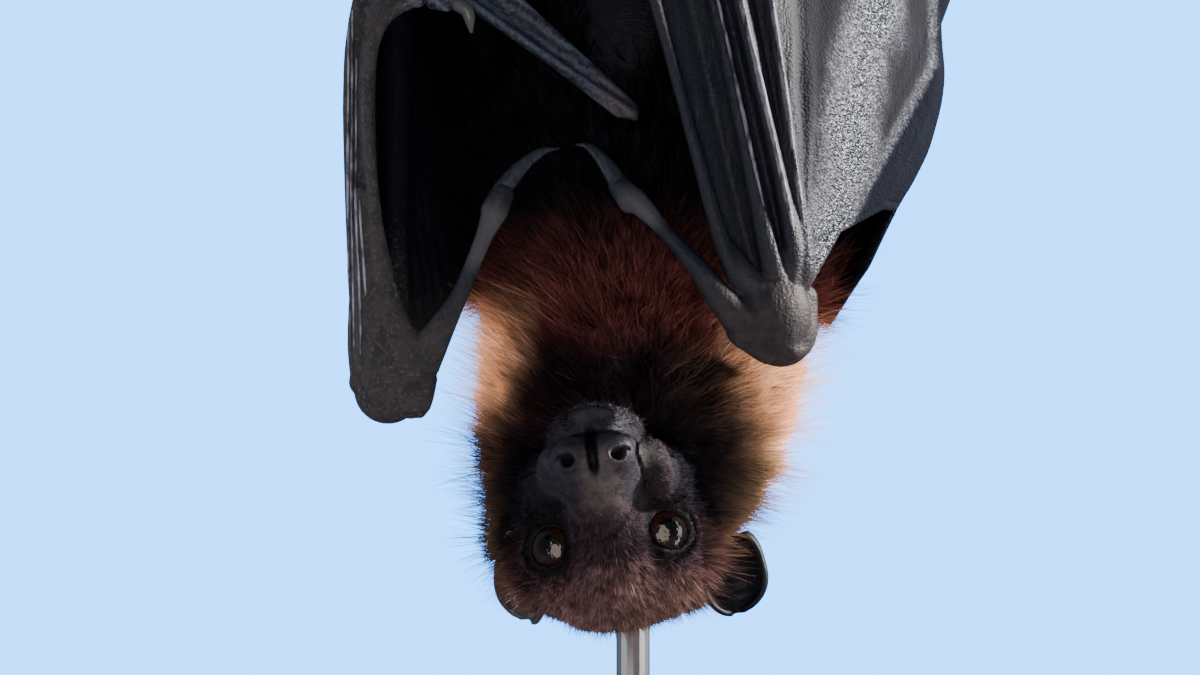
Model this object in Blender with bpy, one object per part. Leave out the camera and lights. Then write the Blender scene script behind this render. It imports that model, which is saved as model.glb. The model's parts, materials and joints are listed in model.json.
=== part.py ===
"""A life-size fruit bat (black flying fox) hanging by its feet from a cut branch, on a plain display stand.

+Z is up, the bat's belly faces -Y and its own right side is +X, because it hangs head down. The origin is the
middle of the stand's underside. Sizes are in millimetres and become metres in at() and MM.
"""

import math

import bmesh
import bpy
from mathutils import Matrix, Vector

MM = 0.001
GAP = 0.35  # between pieces that touch
SKIN_THICK = 1.0  # of a wing membrane
SIDES = {"right": 1, "left": -1}

# Stand and perch
BASE_LENGTH, BASE_DEPTH, BASE_HEIGHT, BASE_CORNER = 220, 180, 16, 14
ROD_BACK, ROD_RADIUS = 68, 4
PERCH_HEIGHT, PERCH_RADIUS = 408, 9.5
PERCH_HALF = 92
COLLAR_RADIUS, COLLAR_HEIGHT = 6.5, 14

# Head: where it is and how it is turned, then sizes along its own forward, right and crown axes
EYE_LEVEL = (-5.7, -13.5, 118.3)  # midway between the eyes
HEAD_PITCH, HEAD_ROLL, HEAD_YAW = 9.5, 7.6, -5.0
EYE_SPREAD, EYE_RADIUS, EYE_FORWARD = 11.9, 5.7, -0.6
EYE_TURN = 24  # degrees that each eye looks outwards

# Each ear in the head's own axes: root, tip, and the way its hollow looks. The left one is laid back
EARS = {
    "right": ((-18, 22.6, -2), (-23, 25, 13.6), (1, 0.35, 0)),
    "left": ((-21, -16.5, -9), (-31, -22, 6.4), (0.8, -0.6, 0.2)),
}
EAR_HALF_WIDTH, EAR_CUP = 8.4, 4.8

# Trunk and neck with their coat: height, middle across, middle depth, half width, half depth
TRUNK = (
    (321, 0, 8, 12, 11),
    (309, 0, 7, 22, 20),
    (290, 0, 5, 28, 26),
    (264, 0, 4, 32, 30),
    (236, 0, 3, 34.5, 33),
    (208, 0.5, 3, 37, 35.5),
    (188, 1, 4, 38, 35.5),
    (170, 2, 5, 36.8, 33),
    (154, 0.8, 7, 36.2, 30),
    (140, -1.6, 9, 35, 27),
    (128, -3, 10, 31, 23),
)
NECK_CUT, CHEST_CUT, BELLY_CUT = 150, 172, 238  # heights where the body is parted

# Joints of the wings and legs
WRIST = {"right": (29.8, -40, 163.5), "left": (-52.5, -34, 152)}
ELBOW = {"right": (80, 30, 298), "left": (-57, 38, 298)}
SHOULDER = {"right": (35, 8, 181), "left": (-31, 9, 186)}
SHOULDER_RADIUS = {"right": 11.5, "left": 9.5}
FOREARM_BOW = {"right": 7.0, "left": 0.5}  # how far the forearm curves outwards at its middle
KNEE_OUT, KNEE_BACK, KNEE_HEIGHT = 35, 20, 340
HIP_OUT, HIP_BACK, HIP_HEIGHT = 15, 6, 304
ANKLE_OUT, ANKLE_BACK, ANKLE_HEIGHT = 20, 15, 388

# Fingers: paths from the wrist to the knuckles, from the outer side of the hand to the leading edge
FINGERS = {
    "right": {
        "five": ((35, -42.5, 171), (35.5, -44.5, 180), (28.7, -46, 232), (21.5, -43, 278)),
        "four": ((33, -44.5, 171), (32.5, -47, 183), (21.8, -51, 231), (12, -48, 274)),
        "three": ((30, -45.5, 171), (27, -47.5, 182), (16.5, -50.5, 231), (6, -49, 276)),
        "two": ((23, -45.5, 169), (17.5, -48, 181), (4, -53, 230), (-2.5, -53, 253)),
    },
    "left": {
        "five": ((-57.5, -29, 155), (-60.5, -25, 176), (-62, -17, 222), (-55, -8, 262)),
        "four": ((-58, -33, 155), (-61.2, -31.5, 176), (-62.5, -31, 222), (-54.5, -29, 259)),
        "three": ((-57.5, -37, 155), (-60.5, -39.5, 176), (-61.8, -43, 222), (-54, -46, 254)),
        "two": (
            (-54, -40, 157),
            (-55.5, -44, 178),
            (-58, -48, 208),
            (-55.5, -49.5, 225),
            (-48.5, -50, 231.2),
            (-41, -50, 230.8),
        ),
    },
}
FINGER_RADIUS = {"five": 1.7, "four": 1.6, "three": 1.8, "two": 1.6}
# The folded end of the third finger: knuckle, joint, tip
FOLD = {
    "right": ((5.5, -46, 273), (18, -40.5, 202), (-3, -31, 300)),
    "left": ((-52.5, -47.5, 243), (-3.6, -49.5, 207.4), (-46, -42, 253)),
}
THUMB = {
    "right": ((21.5, -46.5, 163), (12, -48, 174), (3.5, -47, 184), (-3.5, -45.5, 191.5)),
    "left": ((-43.5, -41, 158), (-38, -43, 168), (-33.2, -44.5, 179.5), (-28.8, -45.6, 190)),
}
THUMB_CLAW = {
    "right": ((-4.3, -45.4, 192.6), (-7.5, -44.5, 197.5), (-10.5, -43.5, 200.5), (-13, -42, 201.2)),
    "left": ((-28.8, -45.6, 191), (-24.5, -45.6, 195.8), (-20.5, -45, 199), (-17, -43.8, 200)),
}
FINGER_CLAW = {
    "right": ((-2.9, -53, 255.5), (-4, -53.5, 259), (-6.1, -53.2, 261.5)),
    "left": ((-38.7, -50, 230.4), (-36.4, -50.3, 228.6), (-35.6, -50, 224.4)),
}
# The membrane between forearm and upper arm: how far its free edge stands out from the wrist to the shoulder,
# where that edge lies as shares of the forearm, how far the inner part stands out, and how much it swells
ELBOW_SKIN = {
    "right": ((3, 11, 15.2, 15.7, 13), (0.166, 0.198, 0.18, 0.045, -0.09), -1, 3.6),
    "left": ((3, 3.7, 4, 3.7, 3), (-0.04, -0.035, -0.02, -0.005, 0), 3, 0),
}
# Where the arm membrane leaves the leading finger for the ankle, and where it joins the flank
TRAILING = {
    "right": ((26, -27, 322), (25, -6, 360)),
    "left": ((-49, 0, 312), (-33, 6, 360)),
}
ELBOW_TO_ANKLE = {"right": (56, 32, 344), "left": (-50, 34, 344)}
FLANK = ((27, 21, 190), (25, 20, 240), (17, 20, 290), (20, 20, 336), (20, 19, 372))

# Triangles that each piece may hold
MOST_TRIANGLES = {
    "head": 1250,
    "neck": 270,
    "chest": 300,
    "belly": 300,
    "hand": 500,
    "foot": 400,
    "finger_fold": 180,
    "finger_claw": 70,
    "forearm": 270,
    "upper_arm": 180,
    "thigh": 180,
    "shin": 130,
    "thumb_claw": 90,
    "thumb": 170,
    "perch": 250,
}

COLOURS = {
    "dark_fur": ((0.028, 0.017, 0.014), 0.75, 0),
    "mantle_fur": ((0.26, 0.11, 0.04), 0.75, 0),
    "wing_leather": ((0.022, 0.021, 0.024), 0.42, 0),
    "bare_skin": ((0.035, 0.03, 0.032), 0.5, 0),
    "claw": ((0.09, 0.08, 0.075), 0.35, 0),
    "eye": ((0.05, 0.018, 0.008), 0.08, 0),
    "branch": ((0.2, 0.15, 0.11), 0.85, 0),
    "stand_wood": ((0.12, 0.07, 0.045), 0.45, 0),
    "stand_metal": ((0.32, 0.31, 0.3), 0.35, 1),
}


def at(x, y, z):
    return Vector((x, y, z)) * MM


def clear_scene():
    for obj in list(bpy.data.objects):
        bpy.data.objects.remove(obj)


def material(name):
    found = bpy.data.materials.get(name)
    if found:
        return found
    colour, roughness, metallic = COLOURS[name]
    made = bpy.data.materials.new(name)
    made.use_nodes = True
    shader = made.node_tree.nodes["Principled BSDF"]
    shader.inputs["Base Color"].default_value = (*colour, 1)
    shader.inputs["Roughness"].default_value = roughness
    shader.inputs["Metallic"].default_value = metallic
    return made


def new_object(name, mesh, finish):
    obj = bpy.data.objects.new(name, mesh)
    bpy.context.scene.collection.objects.link(obj)
    mesh.materials.clear()
    mesh.materials.append(material(finish))
    mesh.shade_smooth()
    return obj


def mesh_object(name, points, faces, finish):
    mesh = bpy.data.meshes.new(name)
    mesh.from_pydata([tuple(p) for p in points], [], faces)
    work = bmesh.new()
    work.from_mesh(mesh)
    bmesh.ops.recalc_face_normals(work, faces=work.faces)
    if work.calc_volume(signed=True) < 0:
        bmesh.ops.reverse_faces(work, faces=work.faces)
    work.to_mesh(mesh)
    work.free()
    return new_object(name, mesh, finish)


# ---- curves


def spline(points, count):
    """count points, evenly spaced by length, on a smooth curve through the given ones."""
    points = [Vector(p) for p in points]
    if len(points) == 2:
        return [points[0].lerp(points[1], i / (count - 1)) for i in range(count)]
    ends = [2 * points[0] - points[1], *points, 2 * points[-1] - points[-2]]
    fine = []
    for a, b, c, d in zip(ends, ends[1:], ends[2:], ends[3:], strict=False):
        for step in range(12):
            t = step / 12
            square = 2 * a - 5 * b + 4 * c - d
            cube = 3 * b - a - 3 * c + d
            fine.append(0.5 * (2 * b + (c - a) * t + square * t * t + cube * t**3))
    fine.append(points[-1])
    lengths = [0.0]
    for p, q in zip(fine, fine[1:], strict=False):
        lengths.append(lengths[-1] + (q - p).length)
    found, k = [], 0
    for i in range(count):
        goal = lengths[-1] * i / (count - 1)
        while k < len(fine) - 2 and lengths[k + 1] < goal:
            k += 1
        share = (goal - lengths[k]) / max(lengths[k + 1] - lengths[k], 1e-9)
        found.append(fine[k].lerp(fine[k + 1], min(1, share)))
    return found


def spread(values, count):
    """count values read evenly along a short list of numbers or of tuples."""
    found = []
    for i in range(count):
        place = (len(values) - 1) * i / (count - 1)
        k = min(int(place), len(values) - 2)
        share = place - k
        a, b = values[k], values[k + 1]
        if isinstance(a, tuple):
            found.append(tuple(p + (q - p) * share for p, q in zip(a, b, strict=True)))
        else:
            found.append(a + (b - a) * share)
    return found


def along(points, share):
    """The point at that share of a list of evenly spaced points."""
    place = (len(points) - 1) * share
    k = min(int(place), len(points) - 2)
    return points[k].lerp(points[k + 1], place - k)


# ---- solids


def rings_to_solid(name, rings, finish):
    count = len(rings[0])
    points = [p * MM for ring in rings for p in ring]
    faces = [
        (r * count + i, r * count + (i + 1) % count, (r + 1) * count + (i + 1) % count, (r + 1) * count + i)
        for r in range(len(rings) - 1)
        for i in range(count)
    ]
    faces.append(tuple(range(count)))
    faces.append(tuple(range((len(rings) - 1) * count, len(rings) * count)))
    return mesh_object(name, points, faces, finish)


def limb(name, path, radii, finish, side=(1, 0, 0), sides=12, rings=9, round_ends=(True, True)):
    """A round-ended tube along a smooth path. A radius is a number, or (half width, half depth)."""
    centre = spline(path, rings)
    sizes = [r if isinstance(r, tuple) else (r, r) for r in spread(radii, rings)]
    made = []

    def ring(middle, along, wide, deep):
        across = (Vector(side) - along * along.dot(Vector(side))).normalized()
        other = along.cross(across).normalized()
        return [
            middle
            + across * wide * math.cos(2 * math.pi * i / sides)
            + other * deep * math.sin(2 * math.pi * i / sides)
            for i in range(sides)
        ]

    directions = [
        (centre[min(i + 1, rings - 1)] - centre[max(i - 1, 0)]).normalized() for i in range(rings)
    ]
    domes = ((0.87, 0.5), (0.42, 0.91))  # share of the radius, and how far past the end
    if round_ends[0]:
        reach = min(sizes[0])
        for share, far in reversed(domes):
            middle = centre[0] - directions[0] * reach * far
            made.append(ring(middle, directions[0], sizes[0][0] * share, sizes[0][1] * share))
    for i in range(rings):
        made.append(ring(centre[i], directions[i], *sizes[i]))
    if round_ends[1]:
        reach = min(sizes[-1])
        for share, far in domes:
            middle = centre[-1] + directions[-1] * reach * far
            made.append(ring(middle, directions[-1], sizes[-1][0] * share, sizes[-1][1] * share))
    return rings_to_solid(name, made, finish)


def sheet(name, grid, finish, thickness=SKIN_THICK):
    """A closed thin solid about a grid of points. thickness is one number, or one for each column."""
    rows, columns = len(grid), len(grid[0])
    thick = [thickness] * columns if not isinstance(thickness, list) else thickness
    front, back = [], []
    for r in range(rows):
        for c in range(columns):
            up = grid[min(r + 1, rows - 1)][c] - grid[max(r - 1, 0)][c]
            over = grid[r][min(c + 1, columns - 1)] - grid[r][max(c - 1, 0)]
            normal = up.cross(over).normalized() * thick[c] / 2
            front.append(grid[r][c] + normal)
            back.append(grid[r][c] - normal)
    points = [p * MM for p in front + back]
    half = rows * columns
    faces = []
    for r in range(rows - 1):
        for c in range(columns - 1):
            a = r * columns + c
            b, d, e = a + 1, a + columns + 1, a + columns
            faces += [(a, b, d, e), (half + e, half + d, half + b, half + a)]
    rim = (
        [c for c in range(columns)]
        + [r * columns + columns - 1 for r in range(1, rows)]
        + [(rows - 1) * columns + c for c in range(columns - 2, -1, -1)]
        + [r * columns for r in range(rows - 2, 0, -1)]
    )
    for a, b in zip(rim, rim[1:] + rim[:1], strict=True):
        faces.append((b, a, half + a, half + b))
    return mesh_object(name, points, faces, finish)


def ball(name, centre, radii, turn, finish, around=12):
    """An ellipsoid. turn is the matrix of its own axes."""
    work = bmesh.new()
    bmesh.ops.create_uvsphere(work, u_segments=around, v_segments=around * 2 // 3, radius=1)
    mesh = bpy.data.meshes.new(name)
    work.to_mesh(mesh)
    work.free()
    size = Matrix.Diagonal((*(Vector(radii) * MM), 1))
    mesh.transform(Matrix.Translation(Vector(centre) * MM) @ turn.to_4x4() @ size)
    if turn.determinant() < 0:
        mesh.flip_normals()
    return new_object(name, mesh, finish)


# ---- joining, parting and trimming

WHOLE = {}  # meshes of the pieces before they were cut


def apply_modifiers(obj):
    graph = bpy.context.evaluated_depsgraph_get()
    graph.update()
    made = bpy.data.meshes.new_from_object(obj.evaluated_get(graph))
    obj.modifiers.clear()
    old = obj.data
    obj.data = made
    bpy.data.meshes.remove(old)


def drop_crumbs(obj):
    """Keeps only the largest run of joined faces, facing out."""
    work = bmesh.new()
    work.from_mesh(obj.data)
    left, islands = set(work.faces), []
    while left:
        todo, island = [left.pop()], []
        while todo:
            face = todo.pop()
            island.append(face)
            for edge in face.edges:
                for other in edge.link_faces:
                    if other in left:
                        left.remove(other)
                        todo.append(other)
        islands.append(island)
    islands.sort(key=len)
    for island in islands[:-1]:
        bmesh.ops.delete(work, geom=island, context="FACES")
    if work.calc_volume(signed=True) < 0:
        bmesh.ops.reverse_faces(work, faces=work.faces)
    work.to_mesh(obj.data)
    work.free()


def carve(obj, *cutters, gap=GAP, solver="EXACT"):
    """Takes each cutter, as it was before its own cuts and grown by the gap, out of obj."""
    if obj.name not in WHOLE:
        WHOLE[obj.name] = obj.data.copy()
    for cutter in cutters:
        grown = WHOLE.get(cutter.name, cutter.data).copy()
        normals = [v.normal.copy() for v in grown.vertices]
        for vertex, normal in zip(grown.vertices, normals, strict=True):
            vertex.co += normal * gap * MM
        helper = bpy.data.objects.new("helper", grown)
        bpy.context.scene.collection.objects.link(helper)
        cut = obj.modifiers.new("cut", "BOOLEAN")
        cut.object, cut.operation, cut.solver = helper, "DIFFERENCE", solver
        apply_modifiers(obj)
        bpy.data.objects.remove(helper)
        drop_crumbs(obj)
    return obj


def unite(name, pieces, finish):
    """One solid from several that overlap."""
    first = pieces[0]
    for other in pieces[1:]:
        joined = first.modifiers.new("join", "BOOLEAN")
        joined.object, joined.operation = other, "UNION"
        apply_modifiers(first)
        bpy.data.objects.remove(other)
    first.name = name
    first.data.materials.clear()
    first.data.materials.append(material(finish))
    return first


def fuse(name, pieces, voxel, smooth, triangles, finish):
    """One soft-edged solid from several that overlap, with about that many triangles."""
    work = bmesh.new()
    for piece in pieces:
        work.from_mesh(piece.data)
        bpy.data.objects.remove(piece)
    mesh = bpy.data.meshes.new(name)
    work.to_mesh(mesh)
    work.free()
    obj = new_object(name, mesh, finish)
    remesh = obj.modifiers.new("remesh", "REMESH")
    remesh.mode, remesh.voxel_size = "VOXEL", voxel * MM
    soften = obj.modifiers.new("soften", "SMOOTH")
    soften.factor, soften.iterations = 0.5, smooth
    apply_modifiers(obj)
    thin = obj.modifiers.new("thin", "DECIMATE")
    thin.ratio = triangles / (2 * len(obj.data.polygons))
    apply_modifiers(obj)
    obj.data.materials.clear()
    obj.data.materials.append(material(finish))
    obj.data.shade_smooth()
    return obj


def slab(name, whole, finish, above=None, below=None):
    """The part of a solid between two planes, each (point, normal). The gap is left on this side of them."""
    mesh = whole.data.copy()
    work = bmesh.new()
    work.from_mesh(mesh)
    for plane, sign in ((above, 1), (below, -1)):
        if plane is None:
            continue
        point, normal = Vector(plane[0]) * MM, Vector(plane[1]).normalized()
        point = point + normal * sign * GAP * MM / 2
        whole_mesh = work.verts[:] + work.edges[:] + work.faces[:]
        away = normal * sign
        bmesh.ops.bisect_plane(work, geom=whole_mesh, plane_co=point, plane_no=away, clear_inner=True)
        rim = [e for e in work.edges if e.is_boundary]
        bmesh.ops.holes_fill(work, edges=rim, sides=0)
    bmesh.ops.triangulate(work, faces=work.faces)
    bmesh.ops.recalc_face_normals(work, faces=work.faces)
    work.to_mesh(mesh)
    work.free()
    obj = new_object(name, mesh, finish)
    drop_crumbs(obj)
    return obj


# ---- head


def head_axes():
    """Columns: the head's own forward, right and crown directions. It hangs with its crown down."""
    forward, right, crown = Vector((0, -1, 0)), Vector((1, 0, 0)), Vector((0, 0, -1))
    pitch = Matrix.Rotation(math.radians(-HEAD_PITCH), 3, "X")
    forward, crown = pitch @ forward, pitch @ crown
    roll = Matrix.Rotation(math.radians(HEAD_ROLL), 3, forward)
    yaw = Matrix.Rotation(math.radians(HEAD_YAW), 3, "Z")
    return Matrix([yaw @ roll @ v for v in (forward, right, crown)]).transposed()


AXES = head_axes()


def on_head(forward, right, crown):
    return Vector(EYE_LEVEL) + AXES @ Vector((forward, right, crown))


def head_ball(forward, right, crown, long, wide, high, tilt=0):
    turn = AXES @ Matrix.Rotation(math.radians(tilt), 3, "Y")
    return ball("lump", on_head(forward, right, crown), (long, wide, high), turn, "dark_fur")


def head_lumps():
    """The furred skull, then muzzle, lips, jaw and cheeks as lumps that overlap."""
    lumps = [
        head_ball(-15.5, 0, 2, 20.5, 24, 16),  # braincase and its fur
        head_ball(-2, 0, 1.5, 12.5, 12, 12),  # brow
        head_ball(-20, 0, -10, 19, 30, 16),  # cheeks and jaw muscles
        head_ball(9, 0, -5.5, 17, 8.4, 8.6, 14),  # bridge of the muzzle
        head_ball(19, 0, -10.5, 12.5, 9.8, 7.8),  # nose end of the muzzle
        head_ball(12, 0, -19.5, 15, 9.8, 6.8),  # lower jaw
        head_ball(-6, 0, -17, 18, 17, 11),  # throat
    ]
    for way in SIDES.values():
        lumps += [
            head_ball(16, way * 7.2, -12.8, 10.5, 5.8, 5.8),  # upper lip
            head_ball(12, way * 11, -11.5, 9, 5.2, 6),  # fold of the lip beside the muzzle
            head_ball(2, way * 10.5, -12.5, 12, 9, 8.5),  # corner of the mouth
            head_ball(28, way * 5.3, -10.2, 4.6, 4.2, 4.2),  # nostril
            head_ball(-5, way * 11.6, 5.4, 8, 6, 3.8),  # brow ridge over the eye
            head_ball(-5.5, way * 14, -6.8, 9.5, 7, 4.6),  # cheekbone under the eye
        ]
    return lumps


def eye(way):
    turn = Matrix.Rotation(math.radians(way * EYE_TURN), 3, "Z")
    return ball("eye", on_head(EYE_FORWARD, way * EYE_SPREAD, 0), (EYE_RADIUS,) * 3, AXES @ turn, "eye")


def ear(side):
    """A leaf-shaped cup with its hollow turned forwards."""
    root, tip, hollow = (Vector(v) for v in EARS[side])
    axis = (tip - root).normalized()
    across = axis.cross(hollow).normalized()
    hollow = across.cross(axis).normalized()
    rows, columns = 9, 7
    grid = []
    for r in range(rows):
        t = r / (rows - 1)
        width = EAR_HALF_WIDTH * math.sqrt(1 - abs(2 * (0.14 + 0.855 * t) - 1) ** 2.6)
        line = []
        for c in range(columns):
            s = 2 * c / (columns - 1) - 1
            depth = EAR_CUP * (s * s * width / EAR_HALF_WIDTH - 0.4 * math.sin(math.pi * t))
            line.append(on_head(*(root.lerp(tip, t) + across * width * s + hollow * depth)))
        grid.append(line)
    return sheet(f"ear_{side}", grid, "bare_skin", 1.1)


# ---- wings


def forearm_path(side, count=9):
    wrist, elbow = Vector(WRIST[side]), Vector(ELBOW[side])
    outwards = Vector((SIDES[side], -0.15, 0))
    return [
        wrist.lerp(elbow, i / (count - 1))
        + outwards * FOREARM_BOW[side] * math.sin(math.pi * i / (count - 1))
        for i in range(count)
    ]


def web(first, second, slack, thickness=SKIN_THICK, columns=5):
    """The membrane between two lines of points, sagging by slack (a vector) at its middle."""
    grid = []
    for a, b in zip(first, second, strict=True):
        give = Vector(slack) * min(1, (b - a).length / 9)
        shares = [c / (columns - 1) for c in range(columns)]
        grid.append([a.lerp(b, share) + give * math.sin(math.pi * share) for share in shares])
    return sheet("web", grid, "wing_leather", thickness)


def hand(side):
    """The wrist and four finger bones with the membrane pleated between them."""
    out = SIDES[side]
    order = ["five", "four", "three", "two"]
    slack = (-0.5, 2.4, 0) if side == "right" else (2.4, 0.3, 0)
    wrist = Vector(WRIST[side])
    lean = Matrix.Rotation(math.radians(out * -14), 3, "Y")
    pieces = [
        ball("palm", wrist + Vector((out * -1, -2.2, 1)), (8.8, 7.4, 10.4), lean, "wing_leather"),
        ball("heel", wrist + Vector((out * 1.2, 1, -3)), (7.8, 6.8, 7.8), Matrix.Identity(3), "wing_leather"),
    ]
    for finger in order:
        radius = FINGER_RADIUS[finger]
        sizes = [radius * 1.5, radius * 1.1, radius, radius * 0.95, radius * 1.25]
        pieces.append(limb("bone", FINGERS[side][finger], sizes, "wing_leather", sides=10, rings=13))
    for one, other in zip(order, order[1:], strict=False):
        pieces.append(web(spline(FINGERS[side][one], 13), spline(FINGERS[side][other], 13), slack, 1.3))
    return fuse(f"hand_{side}", pieces, 0.45, 3, 620, "wing_leather")


def fold(side):
    """The end of the third finger, folded back on itself, with the membrane between its two lengths."""
    knuckle, joint, tip = (Vector(p) for p in FOLD[side])
    near = joint + Vector((0.5, 1.5, 2.5))
    first, second = spline((knuckle, joint), 9), spline((tip, joint + Vector((0, 1.5, 2))), 9)
    pieces = [
        limb("bone", (knuckle, joint), [1.8, 1.4, 1.9], "wing_leather", sides=10, rings=7),
        limb("bone", (joint, near, tip), [1.7, 1.2, 0.8], "wing_leather", sides=10, rings=9),
        web(first, second, (0, 1.5, -1.5), 1.2),
    ]
    return fuse(f"finger_fold_{side}", pieces, 0.45, 2, 280, "wing_leather")


def panel(name, front, back, rows, columns, bulge, finish="wing_leather", inset=(0.0, 1.0)):
    """A membrane between two curves, pushed outwards by bulge (a vector) at its middle."""
    grid = []
    front, back = spline(front, 41), spline(back, 41)
    for r in range(rows):
        t = inset[0] + (inset[1] - inset[0]) * r / (rows - 1)
        a, b = along(front, t), along(back, t)
        swell = math.sin(math.pi * r / (rows - 1))
        grid.append(
            [
                a.lerp(b, c / (columns - 1)) + Vector(bulge) * swell * math.sin(math.pi * c / (columns - 1))
                for c in range(columns)
            ]
        )
    return sheet(name, grid, finish, 1.2)


def ankle(side, out=0.0, back=0.0, lower=0.0):
    return (SIDES[side] * (ANKLE_OUT + out), ANKLE_BACK + back, ANKLE_HEIGHT - lower)


def elbow_membrane(side):
    """The membrane between forearm and upper arm. Its free edge arches from the wrist to the shoulder."""
    rows, columns = 11, 13
    forearm = spline(forearm_path(side), 41)
    shoulder, elbow = Vector(SHOULDER[side]), Vector(ELBOW[side])
    out = Vector((SIDES[side], 0, 0))
    edge_stand, edge_share, inner, swell = ELBOW_SKIN[side]
    stands, shares = spread(edge_stand, columns), spread(edge_share, columns)
    grid = []
    for r in range(rows):
        t = r / (rows - 1)
        fade = t**1.3
        line = []
        for c in range(columns):
            s = c / (columns - 1)
            share = shares[c] * (1 - t) + 0.8 * t
            front = along(forearm, max(share, 0)) + (elbow - forearm[0]) * min(share, 0)
            rear = shoulder + (elbow - shoulder) * share
            stand = stands[c] * (1 - fade) + (3 + inner * math.sin(math.pi * s)) * fade
            stand += swell * math.sin(math.pi * min(t / 0.6, 1)) * math.sin(math.pi * s)
            line.append(front.lerp(rear, s) + stand * out)
        grid.append(line)
    panel = sheet("panel", grid, "wing_leather", 1.3)
    return fuse(f"elbow_membrane_{side}", [panel], 0.5, 2, 240, "wing_leather")


def build_wing(side, body, legs):
    out = SIDES[side]
    wrist, elbow, shoulder = (Vector(t[side]) for t in (WRIST, ELBOW, SHOULDER))
    middle = shoulder.lerp(elbow, 0.5) + Vector((out * 2, 1, 0))
    wide = SHOULDER_RADIUS[side]
    end = shoulder.lerp(elbow, 0.93)
    sizes = [wide, wide, 8.5, 7.2, 6]
    upper = limb(f"upper_arm_{side}", (shoulder, middle, end), sizes, "dark_fur", sides=10, rings=7)
    carve(upper, body)
    sizes = [4.6, 4.6, 5.2, 6.2, 7.6, 8.2, 7.2]
    forearm = limb(f"forearm_{side}", forearm_path(side), sizes, "wing_leather", sides=10, rings=9)
    palm = hand(side)
    carve(forearm, upper, palm)
    carve(palm, body)
    sizes = [(5.2, 3.8), (3.6, 2.6), (2.4, 2.0), (1.8, 1.8), (2.3, 2.3), (2.4, 2.4)]
    lean = (0.8, 0, 0.6 * out)
    thumb = limb(f"thumb_{side}", THUMB[side], sizes, "wing_leather", side=lean, sides=8, rings=9)
    carve(thumb, palm, body)
    claw = limb(f"thumb_claw_{side}", THUMB_CLAW[side], [2.0, 1.7, 1.2, 0.45], "claw", sides=8, rings=6)
    carve(claw, thumb, body)
    nail = limb(f"finger_claw_{side}", FINGER_CLAW[side], [1.35, 1.05, 0.4], "claw", sides=6, rings=5)
    carve(nail, palm)
    folded = fold(side)
    carve(folded, palm, nail)
    lead = [*FINGERS[side]["five"], *TRAILING[side], ankle(side, 3, 1, 6)]
    ridge = [*forearm_path(side, 5), ELBOW_TO_ANKLE[side], ankle(side, 7, 3, 3)]
    ridge[0] = wrist + Vector((out * 3, 1, 6))
    front = panel(f"arm_membrane_{side}", lead, ridge, 12, 5, (out * 3, -2.5, 0), inset=(0.03, 0.97))
    carve(front, palm, forearm, folded)
    flank = [(out * x, y, z) for x, y, z in FLANK]
    arm_line = [shoulder + Vector((0, 3, 4)), *spline((shoulder, elbow), 5)[2:]]
    arm_line += [ELBOW_TO_ANKLE[side], ankle(side, 7, 4, 6)]
    rear = panel(f"back_membrane_{side}", arm_line, flank, 11, 5, (out * 4, 6, 0), inset=(0.12, 0.96))
    carve(rear, body, upper, forearm, front, *legs)
    cuff = elbow_membrane(side)
    carve(cuff, forearm, upper, front, rear, palm, body)
    carve(front, *legs)


# ---- legs, perch and stand


def build_leg(side, body, perch):
    out = SIDES[side]
    hip = Vector((out * HIP_OUT, HIP_BACK, HIP_HEIGHT))
    knee = Vector((out * KNEE_OUT, KNEE_BACK, KNEE_HEIGHT))
    heel = Vector(ankle(side))
    middle = hip.lerp(knee, 0.5) + Vector((out * 1.5, 1, 1))
    thigh = limb(f"thigh_{side}", (hip, middle, knee), [12, 10.5, 8, 6], "dark_fur", sides=10, rings=6)
    carve(thigh, body)
    middle = knee.lerp(heel, 0.5) + Vector((out, 2, 0))
    shin = limb(f"shin_{side}", (knee, middle, heel), [5.6, 5.4, 4, 3.2], "dark_fur", sides=8, rings=6)
    carve(shin, thigh)
    path = (heel + Vector((0, 0, 1)), heel + Vector((0, 1.2, 9)), (out * ANKLE_OUT, 14.4, PERCH_HEIGHT - 1))
    pieces = [limb("sole", path, [(4, 3.2), (5.8, 2.8), (7.6, 2.2)], "bare_skin", rings=6)]
    for toe in range(5):
        across = out * ANKLE_OUT + (toe - 2) * 3.3
        arc, sizes = [], []
        reach = PERCH_RADIUS + GAP + 1.95
        for step in range(8):
            angle = math.radians(-8 + step * 25)
            hook = max(0, step - 4) * 0.45
            height = PERCH_HEIGHT + (reach - hook) * math.sin(angle)
            arc.append((across, (reach - hook) * math.cos(angle), height))
            sizes.append((1.75, 1.8, 1.7, 1.85, 1.55, 1.2, 0.9, 0.5)[step])
        pieces.append(limb("toe", arc, sizes, "bare_skin", sides=8, rings=12))
    foot = fuse(f"foot_{side}", pieces, 0.45, 2, 400, "bare_skin")
    carve(foot, perch, shin)
    return [thigh, shin, foot]


def build_perch():
    """A cut length of branch with a short side stub that meets the rod behind the bat."""
    path = (
        (-PERCH_HALF, 4, 403),
        (-60, 1, 406.5),
        (-36, 0, PERCH_HEIGHT),
        (0, 0, PERCH_HEIGHT),
        (36, 0, PERCH_HEIGHT),
        (62, -1, 409),
        (PERCH_HALF, -4, 413),
    )
    sizes = [9.0, 9.3, PERCH_RADIUS, PERCH_RADIUS, PERCH_RADIUS, 9.2, 8.4]
    flat_ends = (False, False)
    branch = limb("perch", path, sizes, "branch", side=(0, 1, 0), sides=16, rings=12, round_ends=flat_ends)
    path = ((0, 0, PERCH_HEIGHT), (0, 30, 406), (0, 56, 401), (0, ROD_BACK + 9, 399))
    stub = limb("stub", path, [8.6, 7.6, 7.2, 7.0], "branch", sides=12, rings=7, round_ends=flat_ends)
    return unite("perch", [branch, stub], "branch")


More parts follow.
